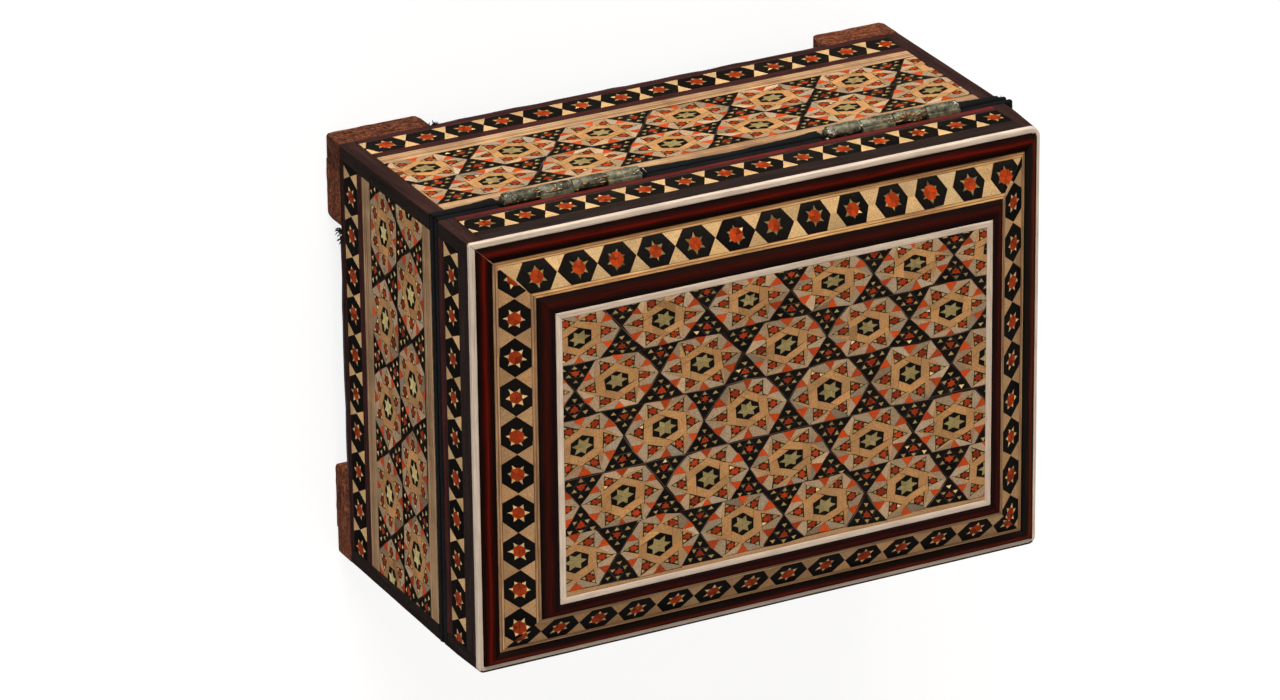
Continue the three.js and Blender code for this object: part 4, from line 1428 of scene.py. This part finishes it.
def base_felt():
    """Felt under the case, cut round the feet, with a frayed edge that shows below the first strip."""
    top = heights("base_felt")[1]
    rng = random.Random(91)
    inlay = Inlay(91, "black")
    room = 0.35
    for name, (sx, sy) in CORNERS.items():
        low, high = box(f"foot_{name}")
        for wide, deep in ((high[0] - low[0], FOOT_THICK), (FOOT_THICK, high[1] - low[1])):
            left, right = sorted((sx * (HALF_X + 3), sx * (HALF_X - wide - room)))
            front, back = sorted((sy * (HALF_Y + 3), sy * (HALF_Y - deep - room)))
            inlay.lay(rectangle(left, front, right, back), HOLE, 0.0)
    extra = [(x, y) for x in range(-76, 77, 4) for y in range(-54, 55, 4)]

    def place(u, v, out):
        wave = 0.12 * noise.noise(Vector((u / 6, v / 6, 0)))
        return MIDDLE + Vector((u, -v, top - 1.1 + wave - out))

    piece = Piece()
    outline = []
    for k in range(140):
        point, way = around(k / 140, 0.0)
        point = point - MIDDLE + way * (0.3 * noise.noise(point / 7) - (0.12 if way.y > 0.5 else -0.1))
        outline.append((point.x, -point.y))
    slab(piece, inlay, outline[::-1], place, 1.1, 0.2, extra)

    def edge(share, level):
        while True:
            point, way = around(share, 0.3)
            x, y = abs(point.x - MIDDLE.x), abs(point.y - MIDDLE.y)
            if x < HALF_X - 26.5 or (x > HALF_X - 1 and y < HALF_Y - 25.5):
                return point + Vector((0, 0, top - 1.0 + level * 0.8)), way
            share = rng.random()

    pile(piece, rng, FELT_FIBRES, edge, 0.4, 0.1)
    # Threads that have come loose beside the feet.
    for root, way, count in loose_ends():
        for _ in range(count):
            lean = Vector((rng.gauss(0, 0.45), rng.gauss(0, 0.45), rng.gauss(0, 0.35)))
            start = root + Vector((rng.gauss(0, 0.5), rng.gauss(0, 0.5), rng.gauss(0, 0.3)))
            piece.fibre(start, (way + lean).normalized(), rng.uniform(0.5, 1.1), 0.5,
                        rng.uniform(-0.7, 0.7), rng.uniform(0, 6.3), 3)
    piece.build("base_felt_cut", "felt_painted_light", "case", "black_velvet", ["base_felt"], outward=False, sharp=60)


def loose_ends():
    """Where threads hang out beside the feet: root, way and how many."""
    level = heights("base_felt")[0]
    low, high = box("foot_back_left")
    other = box("foot_back_right")[0]
    return [(Vector((high[0] + 0.6, high[1] - 0.7, level + 0.2)), Vector((0.5, 0.8, 0.2)), 40),
            (Vector((low[0] + 0.2, low[1] - 1.2, level + 0.2)), Vector((-1.0, -0.6, -0.3)), 44),
            (Vector((low[0] + 0.1, low[1] - 3.2, level + 0.3)), Vector((-0.8, -0.6, -0.2)), 26),
            (Vector((other[0] - 1.0, high[1] - 0.4, level + 0.2)), Vector((-0.4, 0.7, 0.2)), 14)]


# ---------------------------------------------------------------- hinges

KNUCKLES, KNUCKLE_GAP, KNUCKLE_SIDES = 4, 0.3, 40


def knuckle(piece, x0, x1, centre, radius, bore, seed):
    """A rolled knuckle of thin plate: dented, not quite round, with the edge of the plate showing."""
    angles = [2 * math.pi * j / KNUCKLE_SIDES for j in range(KNUCKLE_SIDES)]

    def loop(x, reaches):
        return [Vector((x, centre[0] + reach * math.cos(angle), centre[1] + reach * math.sin(angle)))
                for angle, reach in zip(angles, reaches)]

    loops, count = [], 12
    for k, x in enumerate(places(x0, x1, count)):
        reaches = []
        for angle in angles:
            spot = Vector((x / 1.6, math.cos(angle) * 1.3, math.sin(angle) * 1.3 + seed))
            dent = 0.16 * noise.noise(spot) + 0.09 * noise.noise(spot * 2.7)
            lip = 0.12 if k in (0, count) else 0.0
            step = 0.16 if 4.1 < angle < 4.6 else 0.0
            reaches.append(radius + dent - lip - step - 0.06)
        loops.append(loop(x, reaches))
    first = piece.lattice(loops)
    # Ends: a flat lip in to the bore, and the bore itself.
    near, far = (piece.lattice([loop(x, [bore] * KNUCKLE_SIDES)]) for x in (x0, x1))
    piece.bridge(first, near, KNUCKLE_SIDES)
    piece.bridge(first + count * KNUCKLE_SIDES, far, KNUCKLE_SIDES)
    piece.bridge(near, far, KNUCKLE_SIDES)


def hinge(key):
    """Both leaves of one hinge, each with every other knuckle."""
    low, high = box(f"hinge_{key}_case_leaf")
    lid_low, lid_high = box(f"hinge_{key}_lid_leaf")
    pin_low, pin_high = box(f"hinge_{key}_pin")
    centre = ((pin_low[1] + pin_high[1]) / 2, (pin_low[2] + pin_high[2]) / 2)
    radius, bore = high[1] - centre[0], (pin_high[2] - pin_low[2]) / 2 + 0.1
    start = min(low[0], lid_low[0])
    pitch = (max(high[0], lid_high[0]) - start + KNUCKLE_GAP) / KNUCKLES
    back, edge = low[1], FACE_HIGH[1] - 1.1
    for first, leaf in enumerate(("case", "lid")):
        if leaf == "case":
            bed, face = low[2], low[2] + 1.0
            tab_low, tab_high = bed + 0.15, centre[1] - radius * 0.62
        else:
            bed, face = lid_high[2] - 1.0, lid_high[2]
            tab_low, tab_high = centre[1] + radius * 0.62, face - 0.15
        starts = [start + k * pitch for k in range(first, KNUCKLES, 2)]
        piece = Piece()
        for k, x0 in zip(range(first, KNUCKLES, 2), starts):
            knuckle(piece, x0, x0 + pitch - KNUCKLE_GAP, centre, radius, bore, start + k * 3.7)
        plate = rounded([(back, bed + 0.1), (edge, bed + 0.1), (edge, face - 0.1), (back, face - 0.1)],
                        0.2, 2)
        stations = []
        for x in places(start, start + KNUCKLES * pitch - KNUCKLE_GAP, 19):
            wave = 0.05 * waver(x, start, 4)
            stations.append((x, [Vector((x, y, z + wave)) for y, z in plate]))
        piece.sweep(stations, start)
        tab = strip_section(tab_low, tab_high, edge - 1, centre[0], 0.15, 2)
        for k, x0 in zip(range(first, KNUCKLES, 2), starts):
            stations = []
            for x in places(x0, x0 + pitch - KNUCKLE_GAP, 6):
                wave = 0.05 * waver(x, start + 2, 3)
                stations.append((x, [Vector((x, y + wave, z)) for z, y in tab]))
            piece.sweep(stations, start + k)
        piece.build(f"hinge_{key}_{leaf}_plate", "hinge_metal", leaf, "hinge_metal",
                    [f"hinge_{key}_{leaf}_leaf"], sharp=50)


def blob(piece, centre, size, seed):
    """A dried drop: a lumpy, flattened ball."""
    rows, columns = 7, 10
    loops = []
    for i in range(rows + 1):
        rise = math.pi * i / rows
        loop = []
        for j in range(columns):
            angle = 2 * math.pi * j / columns
            way = Vector((math.sin(rise) * math.cos(angle), math.sin(rise) * math.sin(angle), math.cos(rise)))
            lump = 1 + 0.55 * noise.noise(way * 1.7 + Vector((seed, seed * 2, 0)))
            loop.append(centre + Vector((way.x * size[0], way.y * size[1], way.z * size[2])) * lump)
        loops.append(loop)
    piece.lattice(loops)


# Where glue lies on the knuckles: x, how widely it spreads, and how many drops. Threads: x and how many.
GLUE_PATCHES = {"left": ((-47.5, 2.4, 10), (-38, 5.0, 7)), "right": ((52.5, 2.3, 26), (46.0, 1.0, 4))}
GLUE_THREADS = {"left": ((-24.6, 7), (-50.0, 4)), "right": ((30.2, 26), (39.0, 6), (47.0, 6), (65.5, 5))}
GLUE_RADIUS = 1.62


def hinge_glue(key, seed):
    """Glue that has run out along the case side of a hinge and dried there."""
    low, high = box(f"hinge_{key}_pin")
    y, z = (low[1] + high[1]) / 2, (low[2] + high[2]) / 2
    start, end = low[0] + 0.5, high[0] - 0.5
    rng = random.Random(seed)
    piece, threads = Piece(), Piece()

    def on_barrel(x, angle):
        return Vector((x, y + GLUE_RADIUS * math.cos(angle), z + GLUE_RADIUS * math.sin(angle)))

    def drop(spot, least, most, short, long, deep, tall):
        size = rng.uniform(least, most)
        blob(piece, spot, (size * rng.uniform(short, long), size * deep, size * tall), rng.random() * 50)

    for _ in range(34):
        x = rng.choice([rng.uniform(start, end), rng.gauss(start + 8, 3), rng.gauss(end - 12, 4)])
        angle = rng.choice([rng.gauss(4.25, 0.25), rng.gauss(2.2, 0.5), rng.gauss(4.2, 0.15)])
        spot = on_barrel(min(max(x, start), end), angle)
        if spot.y >= FACE_HIGH[1] - 0.4:
            drop(spot, 0.18, 0.55, 1.2, 2.4, 0.55, 0.7)
    for _ in range(30):
        x = rng.uniform(start, end)
        spot = Vector((x, FACE_HIGH[1] + rng.uniform(0.0, 0.2), z - 1.9 - abs(rng.gauss(0, 0.35))))
        drop(spot, 0.15, 0.4, 1.5, 3.0, 0.5, 0.8)
    for x, spread, count in GLUE_PATCHES[key]:
        for _ in range(count):
            angle = rng.gauss(1.15, 0.45)
            drop(on_barrel(x + rng.gauss(0, spread), angle), 0.25, 0.7, 1.0, 2.4, 0.5, 0.5)
    piece.build(f"hinge_{key}_glue", "dried_glue", "case", "hinge_metal", sharp=80)
    for x, count in GLUE_THREADS[key]:
        for _ in range(count):
            angle = rng.gauss(1.2, 0.7)
            spot = on_barrel(x + rng.gauss(0, 0.7), angle)
            turn = -1 if rng.random() < 0.5 else 1
            way = Vector((rng.gauss(0, 1.3), turn * math.sin(angle), -turn * math.cos(angle))).normalized()
            threads.fibre(spot, way, rng.uniform(0.8, 1.7), rng.uniform(0.12, 0.24), rng.uniform(-0.5, 0.5),
                          rng.uniform(0, 6.3), 4)
            if rng.random() < 0.4:
                size = rng.uniform(0.15, 0.35)
                blob(threads, spot, (size * 1.3, size, size), rng.random() * 50)
    threads.build(f"hinge_{key}_glue_threads", "pale_glue", "case", "hinge_metal", sharp=80)


# ---------------------------------------------------------------- assembly

def make_inlay():
    for i, side in enumerate(SIDES):
        band_on_side("case", side, CASE_STARS, 100 + i)
        band_on_side("lid", side, LID_STARS, 200 + i)
        bevel_band(side, 300 + i)
    for i, (side, rows) in enumerate(CASE_ROWS.items()):
        panel_on_side(side, rows, 401 + i)
    centre_panel()


def make_strips():
    strip_course("base_strip_lengths", "base_strip", "case", "dark_strip", 1, 0.03, drop=0.4)
    strip_course("mid_strip_lengths", "mid_strip", "case", "dark_strip", 2, 0.02)
    layered_course("lower_pale_lengths", "lower_pale_strip", 3)
    layered_course("upper_pale_lengths", "upper_pale_strip", 4)
    strip_course("lid_lower_lengths", "lid_lower_strip", "lid", "dark_strip", 5, 0.03, 1.6)
    strip_course("lid_upper_lengths", "lid_upper_strip", "lid", "ebony", 6, 0.02)
    for i, (corner, (sx, sy)) in enumerate(CORNERS.items()):
        post(f"case_post_strips_{corner}", f"case_post_{corner}", "case", sx, sy, 20 + i)
        post(f"lid_post_strips_{corner}", f"lid_post_{corner}", "lid", sx, sy, 30 + i)


def mitre_filler():
    """Pale filler in the open mitre of the outer moulding, at the back left corner."""
    start, end = inset("outer_moulding") + 0.1, BEVEL_OUT + 0.3
    low, high = heights("bone_edging")[1] + 0.05, bevel_z(BEVEL_OUT) - 0.05
    across, down = Vector((1, 1, 0)).normalized(), Vector((0, 0, -0.7))
    stations = []
    for at_inset, z in arched(start, end, low, high, OUTER_BULGE):
        corner = MIDDLE + Vector((-(HALF_X - at_inset), HALF_Y - at_inset, z))
        reach = across * (0.1 + 0.03 * waver(at_inset, 3, 0.8))
        stations.append((at_inset, [corner - reach + down, corner - reach, corner + Vector((0, 0, 0.07)),
                                    corner + reach, corner + reach + down]))
    piece = Piece()
    piece.sweep(stations, 47)
    piece.build("mitre_filler", "pale_wood", "lid", "pale_wood")


def make_lid_top():
    mitre_filler()
    bone_edging()
    centre_bone_line()
    outer, inner = inset("outer_moulding"), inset("inner_moulding")
    bone_top = heights("bone_edging")[1]
    # The mouldings' casts by side are painted light and shade: the outer one darker on the back, which faces
    # the lamp, both lighter on the front and right.
    moulding("outer_moulding_lengths", "outer_moulding", outer, BEVEL_OUT - 0.02, bone_top + 0.05,
             bevel_z(BEVEL_OUT) - 0.05, OUTER_BULGE, 41, {
                 "back": (0.44, 0.4, 0.36, 0.0), "left": (0.9, 0.8, 0.8, 0.0),
                 "right": (0.8, 2.0, 2.2, 0.0), "front": (1.1, 1.7, 1.8, 0.0)})
    moulding("inner_moulding_lengths", "inner_moulding", inner + 0.02, inset("centre_bone_line") - 0.02,
             BEVEL_TOP - 0.05, heights("centre_bone_line")[1] - 0.3, 0.9, 42,
             {"left": (1.4, 1.5, 1.5, 0.0), "right": (1.6, 1.5, 1.6, 0.0), "front": (2.2, 1.9, 1.9, 0.0)})
    bevel_line("outer_line_lengths", "outer_pale_line", BEVEL_OUT, BAND_OUT, 43)
    bevel_line("inner_line_lengths", "inner_pale_line", BAND_IN, BEVEL_IN, 44)


def make_soft_parts():
    rim_velvet("case_rim_pile", "case_rim_velvet", "case", 51)
    rim_velvet("lid_rim_pile", "lid_rim_velvet", "lid", 52)
    tray("case_velvet_tray", "case_lining", "case", 1, 53)
    tray("lid_velvet_tray", "lid_lining", "lid", -1, 54)
    base_felt()


def studio_mesh(name, material, make):
    mesh = bpy.data.meshes.new(name)
    work = bmesh.new()
    make(work)
    work.to_mesh(mesh)
    work.free()
    mesh.materials.append(material)
    thing = bpy.data.objects.new(name, mesh)
    bpy.context.scene.collection.objects.link(thing)
    return thing


def floor_disc(work):
    bmesh.ops.create_circle(work, cap_ends=True, segments=96, radius=FLOOR_RADIUS)


def backdrop_dome(work):
    bmesh.ops.create_uvsphere(work, u_segments=64, v_segments=32, radius=FLOOR_RADIUS)
    bmesh.ops.delete(work, geom=[v for v in work.verts if v.co.z < -0.01], context="VERTS")


def make_studio():
    """A pale floor, a pale backdrop far away, one big soft light and dim light all round."""
    scene = bpy.context.scene
    scene.view_settings.view_transform = "Standard"
    floor = studio_mesh("floor", glowing_material("pale_floor", 6.0, 3.0, 0.21, 0.8, FLOOR_GLOW), floor_disc)
    floor.visible_glossy = False
    backdrop = studio_mesh("backdrop", glowing_material("backdrop", 0.5, 2.0, 0.5, 0.85, BACKDROP_GLOW),
                           backdrop_dome)
    backdrop.visible_diffuse = backdrop.visible_glossy = backdrop.visible_shadow = False
    backdrop.visible_transmission = False

    world = bpy.data.worlds.new("studio")
    scene.world = world
    world.use_nodes = True
    background = world.node_tree.nodes["Background"]
    background.inputs["Color"].default_value = (1.0, 0.98, 0.95, 1)
    way = world.node_tree.nodes.new("ShaderNodeTexCoord")
    parts = world.node_tree.nodes.new("ShaderNodeSeparateXYZ")
    level = world.node_tree.nodes.new("ShaderNodeMapRange")
    for socket, value in zip(level.inputs[1:5], (-0.05, 0.25, UNDER_LIGHT, WORLD_LIGHT)):
        socket.default_value = value
    world.node_tree.links.new(way.outputs["Generated"], parts.inputs[0])
    world.node_tree.links.new(parts.outputs["Z"], level.inputs[0])
    world.node_tree.links.new(level.outputs[0], background.inputs["Strength"])

    for name, power, way, width in (("key", KEY_LIGHT, KEY_FROM, 40), ("fill", FILL_LIGHT, FILL_FROM, 70)):
        light = bpy.data.lights.new(name, "SUN")
        light.energy, light.angle, light.color = power, math.radians(width), (1.0, 0.965, 0.915)
        lamp = bpy.data.objects.new(name, light)
        lamp.rotation_mode = "QUATERNION"
        lamp.rotation_quaternion = Vector(way).to_track_quat("Z", "Y")
        lamp.visible_glossy = name == "key"
        scene.collection.objects.link(lamp)


FLOOR_RADIUS = 7.9              # metres
FLOOR_GLOW, BACKDROP_GLOW = 0.82, 0.98
WORLD_LIGHT, UNDER_LIGHT = 0.24, 0.03
KEY_LIGHT, FILL_LIGHT = 4.5, 1.1
KEY_FROM, FILL_FROM = (-0.14, 0.93, 0.32), (0.1, -0.35, 0.93)

# The camera looks at a point near the middle of the box from behind, above and to the left.
VIEW_AZIMUTH, VIEW_ELEVATION, VIEW_ROLL = 225.89, 54.58, -127.64
VIEW_DISTANCE = 1.8723          # metres
VIEW_AIM = (-0.01224, -0.00177, 0.04063)
VIEW_LENS = 207.2


def make_camera():
    azimuth, elevation = math.radians(VIEW_AZIMUTH), math.radians(VIEW_ELEVATION)
    back = Vector((math.sin(azimuth) * math.cos(elevation), -math.cos(azimuth) * math.cos(elevation),
                   math.sin(elevation)))
    data = bpy.data.cameras.new("camera")
    data.lens = VIEW_LENS
    data.sensor_width = 36
    data.clip_start, data.clip_end = 0.05, 50
    camera = bpy.data.objects.new("camera", data)
    camera.location = Vector(VIEW_AIM) + back * VIEW_DISTANCE
    camera.rotation_mode = "QUATERNION"
    level = (-back).to_track_quat("-Z", "Y").to_matrix()
    roll = Matrix.Rotation(math.radians(VIEW_ROLL), 3, -back)
    camera.rotation_quaternion = (roll @ level).to_quaternion()
    bpy.context.scene.collection.objects.link(camera)
    bpy.context.scene.camera = camera


make_camera()
make_studio()
make_inlay()
make_strips()
make_lid_top()
for corner, (sx, sy) in CORNERS.items():
    foot(f"foot_{corner}", sx, sy, 60 + sx + 3 * sy)
make_soft_parts()
for key in ("left", "right"):
    hinge(key)
    hinge_glue(key, 71 if key == "left" else 72)

CORE_NODES = ("case_front_board", "case_back_board", "case_left_board", "case_right_board",
              "case_bottom_board", "lid_frame", "lid_board")
for name in CORE_NODES:
    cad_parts[name].data.materials.clear()
    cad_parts[name].data.materials.append(MATERIALS["core_wood"])
for key in ("left", "right"):
    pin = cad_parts[f"hinge_{key}_pin"]
    pin.data.materials.clear()
    pin.data.materials.append(MATERIALS["hinge_metal"])
